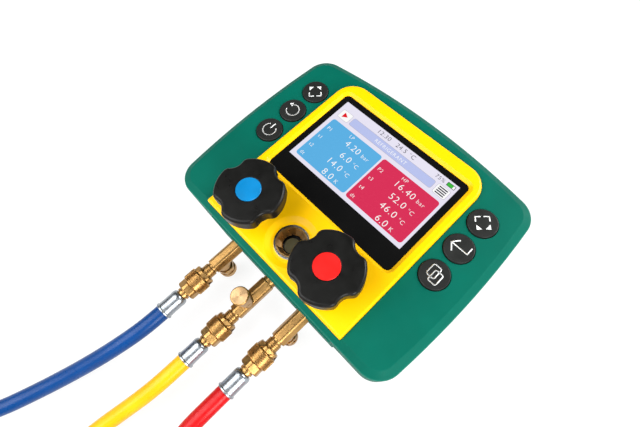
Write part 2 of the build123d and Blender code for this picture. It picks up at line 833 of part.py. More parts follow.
# -------------------------------------------------------------- sight glass
def sight_glass_nut():
    """Brass fitting with a many-sided funnel over the lens."""
    funnel_foot = sight_z - sight_funnel
    body = rod(sight_nut_r, block_top_z, sight_z + bezel_t)
    body += rod(sight_bore_r - running, sight_thread_z, block_top_z)
    body -= rod(lens_r + running, sight_thread_z - past, lens_z + lens_t)
    body -= rod(sight_throat_r - past, lens_z, sight_z)
    mouth = RegularPolygon(sight_mouth_r, 12)
    throat = RegularPolygon(sight_throat_r, 12)
    body -= loft([Pos(0, 0, funnel_foot) * throat, Pos(0, 0, sight_z + bezel_t) * mouth], ruled=True)
    return Pos(0, sight_y, 0) * body




def sight_glass_bezel():
    """Plated ring round the fitting, seated in the dish."""
    inner = sight_nut_r + running
    body = turned([(inner, sight_z), (bezel_r, sight_z), (bezel_r, sight_z + bezel_t - 0.5),
                   (bezel_r - 0.5, sight_z + bezel_t), (inner, sight_z + bezel_t)])
    return Pos(0, sight_y, 0) * body


def sight_glass_lens():
    """Round glass in the bottom of the funnel."""
    body = rod(lens_r, lens_z, lens_z + lens_t, 0, sight_y)
    return chamfer(body.faces().sort_by(Axis.Z)[-1].edges(), 0.4)


# ---------------------------------------------------------------- adapters
def port_axis(colour):
    """Frame on an adapter's axis at the start of its hexagon, pointing outwards."""
    y = hex_start_y - port_reach[colour]
    return Plane((port_x[colour], y, port_z[colour]), x_dir=(1, 0, 0), z_dir=(0, -1, 0)).location


def stub_axis(colour):
    """Frame on an adapter's side stub, pointing outwards."""
    origin = (port_x[colour], stub_y[colour], port_z[colour])
    return Plane(origin, x_dir=(1, 0, 0), z_dir=(0, 0, stub_side[colour])).location


def adapter(colour):
    """Access-valve adapter: hexagon bar, side stub and flare neck for the hose nut."""
    reach = port_reach[colour]
    tip = hex_len + adapter_neck_len
    body = Rot(0, 0, hex_turn[colour]) * hexagon(hex_across, 0, hex_len, hex_corner)
    body += rod(port_r - running, block_front_y - port_depth + past - hex_start_y - reach, 0)
    if reach:
        body += rod(centre_neck_r, -reach, 1)
    neck = turned([(0, hex_len - past), (adapter_neck_r - groove_depth, hex_len - past),
                   (adapter_neck_r - groove_depth, hex_len + groove_w),
                   (adapter_neck_r, hex_len + groove_w), (adapter_neck_r, tip - flare),
                   (adapter_neck_r - flare, tip), (0, tip)])
    body += neck
    body = port_axis(colour) * body
    side = rod(stub_root_r, 0, stub_root_len) + rod(stub_r, stub_root_len - past, stub_len)
    body += stub_axis(colour) * side
    body -= port_axis(colour) * rod(adapter_bore_r, block_front_y - port_depth - hex_start_y - reach, tip + past)
    body -= stub_axis(colour) * rod(core_r + running, 0, stub_len + past)
    return body




def valve_core(colour):
    """Spring valve core inside a side stub."""
    return stub_axis(colour) * rod(core_r, stub_len - core_len, stub_len - 0.5)


def stub_cap(colour):
    """Screw cap of a side stub: wrench flats below a turned crown."""
    bend = stub_cap_start + stub_cap_hex_len
    body = hexagon(stub_cap_hex, stub_cap_start, bend, 0.5)
    crown = rod(stub_cap_r, bend, stub_cap_end)
    body += chamfer(crown.faces().sort_by(Axis.Z)[-1].edges(), 0.6)
    body -= rod(stub_r + running, stub_cap_start - past, stub_cap_end - stub_cap_roof)
    return stub_axis(colour) * body


# --------------------------------------------------------------- hose ends
def hose_end(colour):
    """Where a hose leaves its near ferrule."""
    y = hex_start_y - port_reach[colour] - hose_start
    return (port_x[colour], y, port_z[colour])


def near_frame(colour):
    """Frame at the near end of a hose, pointing at the manifold."""
    return Plane(hose_end(colour), x_dir=(1, 0, 0), z_dir=(0, 1, 0)).location


def tail():
    """Barbed tail with a ridge and the head that the nut pulls on."""
    ridge = ferrule_len + 0.9
    body = turned([(tail_bore_r, 0), (tail_r, 0), (tail_r, ridge), (tail_collar_r, ridge),
                   (tail_collar_r, ridge + tail_collar_t), (tail_r, ridge + tail_collar_t),
                   (tail_r, tail_head), (tail_head_r, tail_head), (tail_head_r, tail_end),
                   (tail_bore_r, tail_end)])
    return body


def ferrule():
    """Crimped sleeve with round shoulders and a lip at the hose."""
    bore = tail_r + running
    body = turned([(bore, 0), (ferrule_flange_r, 0), (ferrule_flange_r, ferrule_flange_t),
                   (ferrule_r, ferrule_flange_t), (ferrule_r, ferrule_len - ferrule_nose),
                   (ferrule_r - ferrule_nose, ferrule_len), (bore, ferrule_len)])
    return body


def nut():
    """Swivel nut: hexagon, gripped barrel and a faceted collar."""
    barrel_z = nut_start + nut_hex_len
    collar_z = barrel_z + nut_barrel_len
    body = hexagon(nut_hex, nut_start, barrel_z, 0.5)
    body += hexagon(nut_collar_hex, collar_z, nut_end, 0.5)
    barrel = rod(nut_barrel_r, barrel_z, collar_z)
    body += chamfer(barrel.edges().filter_by(GeomType.CIRCLE), 0.5)
    body -= rod(tail_r + running, nut_start - past, nut_end)
    body -= rod(nut_bore_r, nut_floor, nut_end + past)
    body -= rod(nut_bore_r + nut_relief, nut_floor, adapter_tip)
    return body


# ------------------------------------------------------------------- hoses
def route(colour):
    """Points of a hose from its near ferrule to where its coil starts."""
    centre, radius, angle = coil_centre[colour], coil_mid_r[colour], radians(coil_entry[colour])
    entry = (centre[0] + radius * cos(angle), centre[1] + radius * sin(angle), hose_r)
    return [hose_end(colour), *routes[colour], entry]


def turn_radius(before, corner, after):
    """Largest bend that the two runs at a corner allow."""
    a, b = Vector(*corner) - Vector(*before), Vector(*after) - Vector(*corner)
    turn = radians(a.get_angle(b))
    return turn_share * min(a.length, b.length) / tan(turn / 2)


def hose_path(colour):
    """Straight runs joined by tangent arcs."""
    points = route(colour)
    radii = [turn_radius(*points[i - 1:i + 2]) for i in range(1, len(points) - 1)]
    return FilletPolyline(*points, radius=radii), radii


def hose(colour):
    """The stretch of hose that isn't coiled."""
    path, radii = hose_path(colour)
    body = sweep(Plane(hose_end(colour), z_dir=(0, -1, 0)) * Circle(hose_r), path=path)
    error = body.volume / (pi * hose_r ** 2 * path.length) - past
    print(colour, "radii", [round(r) for r in radii], "length", round(path.length, 1),
          "volume error", round(error, 5))
    return body


def coil_sweep(colour):
    """Degrees of hose wound in a coil."""
    path, _ = hose_path(colour)
    left = hose_length - path.length
    lost = radians(end_sweep) * end_tuck / 2      # the tucked-in end runs a shorter way
    return degrees((left + lost) / coil_mid_r[colour])


def coil_level(colour):
    """How many turns the end of a coiled hose lies on."""
    return int((coil_sweep(colour) - end_sweep) // coil_climb)


def coil(colour):
    """Outer shape of the coiled hose: one full turn and the turns that lie on it."""
    radius, start = coil_mid_r[colour], coil_entry[colour]
    ring = Pos(radius, 0, hose_r) * Rot(90, 0, 0) * RectangleRounded(2 * hose_r, 2 * hose_r, coil_round)
    body = revolve(ring, Axis.Z, 360)
    sweep_all, top = coil_sweep(colour), coil_level(colour)
    reach = sweep_all - end_sweep
    for level in range(1, top + 1):
        upper = Pos(0, 0, level * (2 * hose_r - turn_sink)) * ring
        begin = level * coil_climb
        body += Rot(0, 0, begin) * revolve(upper, Axis.Z, 360 if level < top else reach - begin)
    shapes = []
    for share in (0, 0.25, 0.5, 0.75, 1):
        place = Pos(-end_tuck * share, 0, end_rise * share)
        shapes.append(Rot(0, 0, reach + end_sweep * share) * place * upper)
    body += loft(shapes)
    return Pos(*coil_centre[colour], 0) * Rot(0, 0, start) * body


def far_frame(colour):
    """Frame at the far end of a hose, pointing away from it."""
    angle = radians(coil_entry[colour] + coil_sweep(colour))
    radius = coil_mid_r[colour] - end_tuck
    centre = coil_centre[colour]
    height = (1 + 2 * coil_level(colour)) * hose_r + end_rise
    origin = (centre[0] + radius * cos(angle), centre[1] + radius * sin(angle), height)
    along = (-sin(angle), cos(angle), 0)
    return Plane(origin, x_dir=(0, 0, 1), z_dir=along).location


# -------------------------------------------------------------------- parts
parts = {
    "boot": boot(),
    "front_housing": front_housing(),
    "rear_shell": rear_shell(),
    "battery_door": battery_door(),
    "battery_pack": battery_pack(),
    "case_screws": case_screws(),
    "block_screws": block_screws(),
    "window_glass": window_glass(),
    "display_module": display_module(),
    "circuit_board": circuit_board(),
    "hanging_hook": hanger(),
    "manifold_block": manifold_block(),
    "pressure_sensors": pressure_sensors(),
    "sight_glass_nut": sight_glass_nut(),
    "sight_glass_bezel": sight_glass_bezel(),
    "sight_glass_lens": sight_glass_lens(),
    "valve_bonnets": [bonnet(s * valve_x) for s in (-1, 1)],
    "valve_cores": [valve_core(c) for c in colours],
    "near_tails": [near_frame(c) * tail() for c in colours],
    "near_ferrules": [near_frame(c) * ferrule() for c in colours],
}
for name, (x, y) in button_places().items():
    parts[name] = button(x, y)
for colour, side in valve_side.items():
    parts["piston_" + colour] = piston(side * valve_x)
    parts["spindle_" + colour] = spindle(side * valve_x)
    parts["knob_" + colour] = knob(colour)
    parts["knob_cap_" + colour] = knob_cap(side * valve_x)
    parts["knob_screw_" + colour] = knob_screw(side * valve_x)
for colour in colours:
    parts["adapter_" + colour] = adapter(colour)
    parts["stub_cap_" + colour] = stub_cap(colour)
    parts["near_nut_" + colour] = near_frame(colour) * nut()
    parts["hose_" + colour] = hose(colour)
    parts["coil_" + colour] = coil(colour)
    parts["far_tail_" + colour] = far_frame(colour) * tail()
    parts["far_ferrule_" + colour] = far_frame(colour) * ferrule()
    parts["far_nut_" + colour] = far_frame(colour) * nut()

for name, shape in parts.items():
    solids = shape if isinstance(shape, list) else [shape]
    export_step(Compound(children=[solid for piece in solids for solid in piece.solids()]),
                "parts/" + name + ".step")
    for piece in solids:
        for solid in piece.solids():
            if not solid.is_valid:
                print("not valid:", name)
print(len(parts), "parts")
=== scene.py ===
"""Digital refrigerant manifold gauge: finishes, hoses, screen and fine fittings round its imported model."""
import json
from math import cos, pi, radians, sin, tan, tau

import bmesh
import bpy
from mathutils import Euler, Matrix, Vector
from mathutils.bvhtree import BVHTree


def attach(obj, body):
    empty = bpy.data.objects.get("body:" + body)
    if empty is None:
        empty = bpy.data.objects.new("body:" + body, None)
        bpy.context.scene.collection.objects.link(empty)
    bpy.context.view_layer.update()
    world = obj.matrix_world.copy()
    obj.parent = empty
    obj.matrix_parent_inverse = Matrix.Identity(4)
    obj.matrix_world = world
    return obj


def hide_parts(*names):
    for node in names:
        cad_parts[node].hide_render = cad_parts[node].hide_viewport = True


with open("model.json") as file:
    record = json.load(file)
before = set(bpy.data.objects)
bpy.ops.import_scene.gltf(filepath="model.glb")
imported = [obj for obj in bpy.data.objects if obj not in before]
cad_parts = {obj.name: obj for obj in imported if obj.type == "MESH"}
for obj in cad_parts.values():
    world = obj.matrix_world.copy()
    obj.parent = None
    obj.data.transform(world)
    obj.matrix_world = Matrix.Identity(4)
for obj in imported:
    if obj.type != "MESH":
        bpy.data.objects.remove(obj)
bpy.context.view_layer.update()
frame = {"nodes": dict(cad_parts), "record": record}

bl_info = {
    "name": "Refrigerant Manifold Gauge",
    "version": (1, 0, 0),
    "blender": (4, 5, 0),
    "location": "View3D > Sidebar > Manifold Gauge",
    "description": "Dresses a digital manifold gauge with its screen, knobs, brass fittings and hoses",
    "category": "Add Mesh",
}

# ---------------------------------------------------------------- names and units
MM = 0.001
COLOURS = ("blue", "yellow", "red")
SIDES = ("blue", "red")            # the low side and the high side

# ---------------------------------------------------------------- fittings, in millimetres
PORT_X = {"blue": -35.7, "yellow": 0.0, "red": 35.7}
PORT_Z = {"blue": 28.0, "yellow": 23.0, "red": 28.0}
HEX_START_Y = {"blue": -76.8, "yellow": -86.2, "red": -76.8}
HOSE_END_Y = {"blue": -152.4, "yellow": -161.8, "red": -152.4}

NECK_START = 31.6          # along an adapter, from the start of its hexagon
NECK_LEN = 6.2
THREAD_R = 5.25
THREAD_DEPTH = 0.55
THREAD_CORE = 0.6          # wall of the sleeve under the thread
THREAD_PITCH = 1.27
THREAD_FLANKS = (0.12, 0.44, 0.56, 0.88)   # root, crest, crest and root, as shares of the pitch
THREAD_STEPS = 48

FERRULE_LEN = 16.4
FERRULE_R = 6.1
FERRULE_BORE = 4.0
FERRULE_STEPS = 72
CRIMP = 0.12               # how deep the crimp is
LIP_R = 6.8
LIP_IN = 5.9               # radius inside the lip
LIP_LEN = 1.4
LIP_EDGE = 0.3

BARREL_START = 25.6        # along a hose end, from the end of the hose
BARREL_LEN = 9.6
BARREL_R = 8.4
GRIP_MARGIN = 0.7
GRIP_ROOT = 0.3            # how deep a ridge is sunk into the barrel
GRIP_CREST = 0.3           # width of a ridge's crest, as a share of its foot
GRIP_SLOPE = 0.62          # run of a ridge round the barrel, as a share of its length
GRIP_STEPS = 5

LENS_CENTRE = (0.5, -57.7)
LENS_R = 5.6

# ---------------------------------------------------------------- edges
CREASE = 38.0              # degrees past which an edge stays sharp in the shading
FLAT = 0.4                 # degrees up to which triangles join into one face
NUT_SHARP = 20.0           # degrees past which an edge is rounded
FITTING_SHARP = 25.0
BOOT_SHARP = 28.0
KNOB_SHARP = 32.0
SHELL_SHARP = 40.0
KNOB_EDGE = 0.0005         # in metres
KNOB_EDGE_STEPS = 3
BOOT_HIGHLIGHT_BAND = (0.0462, 0.0468, 0.0003)       # the painted highlight along the step in the boot's side: from, to and softness, in metres

# ---------------------------------------------------------------- hoses, in millimetres
HOSE_ROUTES = {
    "blue": [(-35.7, -152.4, 28), (-35.7, -166, 28), (-39.5, -186, 25), (-46.5, -209, 18.5),
             (-55.5, -234, 11.5), (-65, -260, 7), (-74, -285, 5.8), (-88, -309, 5.8),
             (-105, -333, 5.8)],
    "yellow": [(0, -161.8, 23), (0, -177, 23), (-2, -194, 19.5), (-6, -213, 14.5),
               (-10.5, -234, 9.5), (-13, -257, 6.4), (-14.5, -282, 5.8), (-17, -308, 5.8),
               (-14.8, -332, 5.8)],
    "red": [(35.7, -152.4, 28), (35.7, -167, 28), (35.2, -184, 25), (36.5, -203, 19),
            (42, -222, 12), (52, -240, 6.8)],
}
HOSE_R = 5.8
COIL_CENTRE = {"blue": (-70, -385), "yellow": (50.5, -336), "red": (112.3, -216.7)}
COIL_ENTRY = {"blue": 150.0, "yellow": 200.0, "red": 225.0}
COIL_R = {"blue": 58.0, "yellow": 59.5, "red": 58.0}
COIL_SWEEP = {"blue": 593.104, "yellow": 603.768, "red": 697.751}
COIL_LEVEL = {"blue": 1, "yellow": 1, "red": 2}   # turns that the end lies on
COIL_STEP = 15.0           # degrees between the points of a turn
CLIMB = (285.0, 345.0)     # where the second turn rises onto the first
CLIMB_AGAIN = 300.0        # and each later one, this much further round
END_SWEEP = 60.0           # the last stretch, which is tucked in and rises
END_TUCK = 6.0
END_RISE = 3.2

# ---------------------------------------------------------------- buttons, in millimetres
BUTTON_Z = 51.7
BUTTONS = {
    "button_select_left": (-80.7, 41.8), "button_refresh": (-80.7, 17.35),
    "button_power": (-80.7, -7.1), "button_select_right": (80.7, 41.8),
    "button_return": (80.7, 17.35), "button_pages": (80.7, -7.1),
}
GLYPH_SCALE = 1.18
GLYPH_THICK = 0.05
GLYPH_REACH = 5.6          # from the middle of a button to the end of its symbol
ARC_STEP = 9               # degrees

# ---------------------------------------------------------------- screen, in millimetres
SCREEN_Z = 52.34
SCREEN = (-54.0, 54.0, -10.3, 51.7)        # from x, to x, from y, to y, as for each area below
LAYER = 0.02               # each area stands this much over the one under it
TITLE_BAR = (-39.3, 39.4, 37.0, 44.4)
LOW_PANEL = (-50.7, -0.8, -7.2, 33.5)
HIGH_PANEL = (0.7, 51.9, -7.2, 33.5)
FLAG_BOX = (-51.0, -40.8, 36.6, 45.0)
FLAG = [(-47.9, 38.3), (-43.7, 40.8), (-47.9, 43.3)]
MENU_BOX = (41.3, 51.9, 36.4, 44.9)
MENU_LINE = (43.0, 50.2, 0.45)             # from x, to x and half its width
MENU_ROWS = (38.0, 39.75, 41.5, 43.25)
CELL_CASE = (45.4, 52.2, 46.9, 50.1)
CELL_EMPTY = (45.8, 51.8, 47.3, 49.7)
CELL_FULL = (45.8, 50.3, 47.3, 49.7)
FRAME_LINE = 0.25
ROWS = (24.6, 15.0, 5.6, -3.4)
HEADING_Y = 30.4
READINGS = (               # heading, left edge, end of the values, start of the units, rows
    ("LP", -48.6, -15.0, -12.8,
     (("4.20", "bar", "P1"), ("6.0", "°C", "t1"), ("14.0", "°C", "t2"), ("8.0", "K", "dt"))),
    ("HP", 3.0, 37.0, 39.2,
     (("16.40", "bar", "P2"), ("52.0", "°C", "t3"), ("46.0", "°C", "t4"), ("6.0", "K", "dt"))),
)
VALUE_TALL = 5.3
UNIT_TALL = 3.3
UNIT_DROP = 0.6
LABEL_TALL = 3.0
HEADING_TALL = 2.9
CAPITALS = 0.72            # height of the capitals, as a share of a text's size
LETTER_SPACE = 1.12
LETTER_THICK = 0.03
LETTER_THIN = 0.012        # taken off each side of a letter's lines, as a share of its height
SCREEN_COLOURS = {         # the two panels take theirs from the settings
    "paper": (0.83, 0.80, 0.93), "bar": (0.50, 0.56, 0.88), "edge": (0.45, 0.43, 0.52),
    "low": None, "high": None, "white": (1.0, 1.0, 1.0), "ink": (0.03, 0.03, 0.05),
    "alert": (0.8, 0.01, 0.02), "green": (0.05, 0.5, 0.05),
}
SCREEN_GLOW = 0.85
SCREEN_BASE = 0.08         # how much of its colour a screen area shows by the room's light

# ---------------------------------------------------------------- stage, in metres and degrees
CAMERA_PLACE = (0.090405, -0.090095, 0.304815)
CAMERA_TURN = (23.2145, 4.4609, 46.1218)
CAMERA_LENS = 22.5056

LAMP_AIM = (0.0, -0.05, 0.03)
LAMPS = (                  # name, place, width and power in watts
    ("key", (-0.35, -0.65, 0.95), 1.0, 16.5),
    ("back", (0.5, 0.9, 0.6), 0.6, 14.0),
    ("side", (0.95, -0.35, 0.5), 0.5, 8.0),
)
AIR_BRIGHT_SIDE = (0.7, -0.45, 0.5)
AIR_SIDE = (0.1, 0.9, 0.08, 0.4)           # share towards that side: from, to, and light at each
AIR_HORIZON = (0.1, 0.28, 0.8, 0.0)        # height over the horizon: from, to, and light added at each
FLOOR_HALF = 6.0
FLOOR_DROP = 0.0002
FLOOR_GLOW = 0.85


# ---------------------------------------------------------------- settings a user would change
class GaugeSizes(bpy.types.PropertyGroup):
    """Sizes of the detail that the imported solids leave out"""
    edge_soft: bpy.props.FloatProperty(
        name="Moulded edge", description="Radius left on the edges of the mouldings",
        default=0.0004, unit="LENGTH")
    metal_edge: bpy.props.FloatProperty(
        name="Turned edge", description="Radius left on the edges of the brass fittings",
        default=0.00025, unit="LENGTH")
    grip_ridges: bpy.props.IntProperty(
        name="Grip ridges", description="Ridges round the barrel of each swivel nut", default=44)
    grip_height: bpy.props.FloatProperty(
        name="Grip height", description="How far a ridge stands out of the barrel",
        default=0.00032, unit="LENGTH")
    glyph_line: bpy.props.FloatProperty(
        name="Symbol line", description="Width of the lines printed on the buttons",
        default=0.0008, unit="LENGTH")
    hose_width: bpy.props.FloatProperty(
        name="Hose diameter", description="Outside diameter of each charging hose",
        default=0.0116, unit="LENGTH")


def colour_property(name, description, value):
    """A colour in the sidebar, kept as linear red, green and blue."""
    return bpy.props.FloatVectorProperty(
        name=name, description=description, subtype="COLOR", size=3, min=0, max=1, default=value)


class GaugeColours(bpy.types.PropertyGroup):
    """Colours of the mouldings, the hoses and the metal"""
    boot: colour_property("Boot", "Rubber boot round the housing", (0.0, 0.112, 0.077))
    panel: colour_property("Front", "Glossy front moulding", (1.0, 0.56, 0.0))
    knob: colour_property("Knobs", "Hand knobs and buttons", (0.005, 0.005, 0.0045))
    low: colour_property("Low side", "Cap of the low-pressure knob", (0.0, 0.19, 0.46))
    high: colour_property("High side", "Cap of the high-pressure knob", (0.72, 0.011, 0.009))
    hose_blue: colour_property("Blue hose", "Jacket of the low-pressure hose", (0.0, 0.048, 0.21))
    hose_yellow: colour_property("Yellow hose", "Jacket of the charging hose", (1.0, 0.50, 0.004))
    hose_red: colour_property("Red hose", "Jacket of the high-pressure hose", (0.55, 0.004, 0.006))
    brass: colour_property("Brass", "Turned brass fittings", (0.46, 0.265, 0.09))
    screen_low: colour_property("Low panel", "Screen panel of the low side", (0.11, 0.45, 0.80))
    screen_high: colour_property("High panel", "Screen panel of the high side", (0.72, 0.03, 0.10))


# ---------------------------------------------------------------- finishes
class Finish:
    """A node material on Object coordinates, put together step by step."""

    def __init__(self, name, colour, rough, **sockets):
        self.material = bpy.data.materials.new(name)
        self.material.use_nodes = True
        self.tree = self.material.node_tree
        self.shader = self.tree.nodes["Principled BSDF"]
        self.colour = tuple(colour)
        self.shader.inputs["Base Color"].default_value = (*self.colour, 1)
        self.shader.inputs["Roughness"].default_value = rough
        for socket, value in sockets.items():
            self.shader.inputs[socket.replace("_", " ")].default_value = value
        self.where = self.tree.nodes.new("ShaderNodeTexCoord").outputs["Object"]

    def add(self, kind, **settings):
        """A node of this kind, with its settings."""
        node = self.tree.nodes.new("ShaderNode" + kind)
        for key, value in settings.items():
            setattr(node, key, value)
        return node

    def link(self, source, target):
        """Joins two sockets."""
        self.tree.links.new(source, target)

    def noise(self, scale, detail=2.0, stretch=(1, 1, 1)):
        """Noise of this many cells per metre, stretched along an axis if asked."""
        place = self.add("Mapping")
        place.inputs["Scale"].default_value = stretch
        self.link(self.where, place.inputs["Vector"])
        node = self.add("TexNoise")
        node.inputs["Scale"].default_value = scale
        node.inputs["Detail"].default_value = detail
        self.link(place.outputs["Vector"], node.inputs["Vector"])
        return node.outputs["Fac"]

    def spread(self, factor, low, high, out_low=0.0, out_high=1.0):
        """A factor's middle range opened out to full range."""
        node = self.add("MapRange")
        limits = (low, high, out_low, out_high)
        for socket, value in zip(("From Min", "From Max", "To Min", "To Max"), limits):
            node.inputs[socket].default_value = value
        self.link(factor, node.inputs["Value"])
        return node.outputs["Result"]

    def blend(self, factor, first, second):
        """A colour between two, by a factor. Either colour may be a socket."""
        node = self.add("Mix", data_type="RGBA")
        self.link(factor, node.inputs["Factor"])
        for socket, value in ((node.inputs[6], first), (node.inputs[7], second)):
            if isinstance(value, bpy.types.NodeSocket):
                self.link(value, socket)
            else:
                socket.default_value = (*value, 1)
        return node.outputs[2]

    def paint(self, colour):
        """Puts a colour socket on the shader."""
        self.link(colour, self.shader.inputs["Base Color"])
        return self

    def mottle(self, scale, amount, detail=3.0):
        """Slight light and dark patches."""
        factor = self.spread(self.noise(scale, detail), 0.3, 0.7)
        dark = [v * (1 - amount) for v in self.colour]
        light = [min(1.0, v * (1 + amount) + amount * 0.01) for v in self.colour]
        return self.paint(self.blend(factor, dark, light))

    def roughness(self, scale, low, high, detail=3.0):
        """Patches that shine more and less."""
        factor = self.spread(self.noise(scale, detail), 0.3, 0.7, low, high)
        self.link(factor, self.shader.inputs["Roughness"])
        return self

    def relief(self, height, strength, distance):
        """Bumps from a height socket, on top of any that are there."""
        node = self.add("Bump")
        node.inputs["Strength"].default_value = strength
        node.inputs["Distance"].default_value = distance
        self.link(height, node.inputs["Height"])
        before = self.shader.inputs["Normal"]
        if before.is_linked:
            self.link(before.links[0].from_socket, node.inputs["Normal"])
        self.link(node.outputs["Normal"], before)
        return self

    def grain(self, scale, strength, distance, detail=2.0, stretch=(1, 1, 1)):
        """Fine surface grain."""
        return self.relief(self.noise(scale, detail, stretch), strength, distance)

    def height(self):
        """The Z of the surface, in metres."""
        node = self.add("SeparateXYZ")
        self.link(self.where, node.inputs["Vector"])
        return node.outputs["Z"]


def band(finish, low, high, soft):
    """A factor that is 1 between two heights and 0 elsewhere, in metres."""
    height = finish.height()
    rise = finish.spread(height, low - soft, low + soft)
    fall = finish.spread(height, high - soft, high + soft, 1.0, 0.0)
    both = finish.add("Math", operation="MULTIPLY")
    finish.link(rise, both.inputs[0])
    finish.link(fall, both.inputs[1])
    return both.outputs[0]


def boot_rubber(colours):
    """Green rubber of the boot, with a painted highlight along the step in its side."""
    finish = Finish("boot_rubber_look", colours.boot, 0.55, Specular_IOR_Level=0.08)
    factor = finish.spread(finish.noise(35, 3.0), 0.3, 0.7)
    base = finish.blend(factor, [v * 0.92 for v in colours.boot], [v * 1.07 for v in colours.boot])
    # painted highlight: a paler green band where the edge of the step catches the light
    pale = [v * 1.5 + 0.02 for v in colours.boot]
    finish.paint(finish.blend(band(finish, *BOOT_HIGHLIGHT_BAND), base, pale))
    finish.roughness(150, 0.48, 0.62)
    return finish.grain(2400, 0.15, 0.0002)


def gloss_plastic(name, colour, rough=0.3):
    """Glossy moulding with a faint ripple."""
    return Finish(name, colour, rough, Specular_IOR_Level=0.16).mottle(25, 0.02) \
        .roughness(220, rough, rough + 0.07)


def satin_plastic(name, colour, rough=0.38):
    """Spark-eroded moulding with a satin grain."""
    return Finish(name, colour, rough, Specular_IOR_Level=0.2).mottle(80, 0.12) \
        .roughness(200, rough - 0.06, rough + 0.08).grain(3200, 0.2, 0.00012)


def turned_metal(name, colour, rough):
    """Machined metal with fine tool marks and slight tarnish."""
    finish = Finish(name, colour, rough, Metallic=1.0)
    factor = finish.spread(finish.noise(160, 4.0), 0.35, 0.75)
    finish.paint(finish.blend(factor, [min(1.0, v * 1.08) for v in colour], [v * 0.78 for v in colour]))
    finish.roughness(420, rough - 0.05, rough + 0.12)
    return finish.grain(240, 0.25, 0.00008, stretch=(1, 40, 1))


def faced_metal(name, colour):
    """Brass faced on a lathe, whose rings draw light into two fans."""
    finish = Finish(name, [v * 0.9 + 0.08 for v in colour], 0.34, Metallic=1.0, Anisotropic=0.9)
    rings = finish.add("Tangent", direction_type="RADIAL", axis="Z")
    finish.link(rings.outputs["Tangent"], finish.shader.inputs["Tangent"])
    return finish.mottle(500, 0.06).roughness(420, 0.3, 0.4)


def lens_glass(name):
    """Tinted sight glass, ringed by painted shade where the gap round it lies."""
    glass, gap_shade = (0.075, 0.068, 0.035), (0.002, 0.002, 0.002)
    finish = Finish(name, glass, 0.05, Coat_Weight=0.6)
    flat = finish.add("Mapping")
    flat.inputs["Scale"].default_value = (1, 1, 0)
    reach = finish.add("VectorMath", operation="DISTANCE")
    reach.inputs[1].default_value = (LENS_CENTRE[0] * MM, LENS_CENTRE[1] * MM, 0)
    finish.link(finish.where, flat.inputs["Vector"])
    finish.link(flat.outputs["Vector"], reach.inputs[0])
    # painted shade: near black outside the lens edge, in the recess between the funnel and the lens
    edge = finish.spread(reach.outputs["Value"], LENS_R * MM - 0.0002, LENS_R * MM + 0.0002)
    finish.paint(finish.blend(edge, glass, gap_shade))
    return finish.roughness(90, 0.04, 0.1)


def bright_metal(name, colour, rough):
    """Plated metal with a slight haze."""
    return Finish(name, colour, rough, Metallic=1.0).mottle(300, 0.06) \
        .roughness(500, max(0.02, rough - 0.05), rough + 0.08).grain(900, 0.03, 0.00002)


def hose_jacket(name, colour):
    """Smooth jacket of a charging hose, with the fine braid under it showing through."""
    finish = Finish(name, colour, 0.3, Specular_IOR_Level=0.22)
    along = finish.add("TexCoord").outputs["UV"]
    place = finish.add("Mapping")
    place.inputs["Scale"].default_value = (700.0, 26.0, 1.0)
    finish.link(along, place.inputs["Vector"])
    weave = finish.add("TexChecker")
    weave.inputs["Scale"].default_value = 1.0
    finish.link(place.outputs["Vector"], weave.inputs["Vector"])
    finish.mottle(45, 0.08)
    finish.roughness(260, 0.26, 0.4)
    finish.relief(weave.outputs["Fac"], 0.06, 0.0001)
    return finish.grain(1500, 0.1, 0.0002)


def screen_light(name, colour):
    """A lit area of the screen under its cover glass."""
    finish = Finish(name, [v * SCREEN_BASE for v in colour], 0.2, Specular_IOR_Level=0.3)
    finish.shader.inputs["Emission Strength"].default_value = SCREEN_GLOW
    factor = finish.spread(finish.noise(12, 1.0), 0.3, 0.7)
    glow = finish.blend(factor, [v * 0.97 for v in colour], colour)
    finish.link(glow, finish.shader.inputs["Emission Color"])
    return finish.roughness(300, 0.22, 0.3)


def make_finishes(colours):
    """All the finishes, by the name of the slot each one belongs to."""
    made = {
        "boot_rubber": boot_rubber(colours),
        "housing_yellow": gloss_plastic("housing_yellow_look", colours.panel),
        "shell_dark": satin_plastic("shell_dark_look", (0.012, 0.05, 0.035), 0.45),
        "black_glass": Finish("black_glass_look", (0.003, 0.003, 0.003), 0.05, Specular_IOR_Level=0.35)
        .mottle(40, 0.1).roughness(60, 0.04, 0.09),
        "display": satin_plastic("display_look", (0.3, 0.32, 0.38)),
        "board_green": satin_plastic("board_green_look", (0.01, 0.12, 0.04), 0.3),
        "battery_sleeve": gloss_plastic("battery_sleeve_look", (0.01, 0.06, 0.3), 0.25),
        "screw_steel": bright_metal("screw_steel_look", (0.55, 0.55, 0.57), 0.28),
        "block_metal": bright_metal("block_metal_look", (0.72, 0.73, 0.75), 0.32),
        "brass": turned_metal("brass_look", colours.brass, 0.3),
        "plated": bright_metal("plated_look", (0.78, 0.79, 0.8), 0.16),
        "zinc": bright_metal("zinc_look", (0.36, 0.39, 0.42), 0.3),
        "lens": lens_glass("lens_look"),
        "cap_brass": faced_metal("cap_brass_look", colours.brass),
        "knob_black": satin_plastic("knob_black_look", colours.knob, 0.33),
        "cap_blue": satin_plastic("cap_blue_look", colours.low, 0.35),
        "cap_red": satin_plastic("cap_red_look", colours.high, 0.35),
        "button_grey": satin_plastic("button_grey_look", (0.016, 0.017, 0.016), 0.4),
        "rod_steel": bright_metal("rod_steel_look", (0.6, 0.6, 0.62), 0.22),
    }
    for colour in COLOURS:
        slot = "hose_" + colour
        made[slot] = hose_jacket(slot + "_look", getattr(colours, slot))
    return {slot: finish.material for slot, finish in made.items()}


finishes = {}              # the materials by slot, filled by the first step


# ---------------------------------------------------------------- mesh helpers
def node_slot(node):
    """The record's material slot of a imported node."""
    for row in frame["record"]["subparts"]:
        if row["node"] == node:
            return row["material_slot"]
    raise RuntimeError("no slot for " + node)


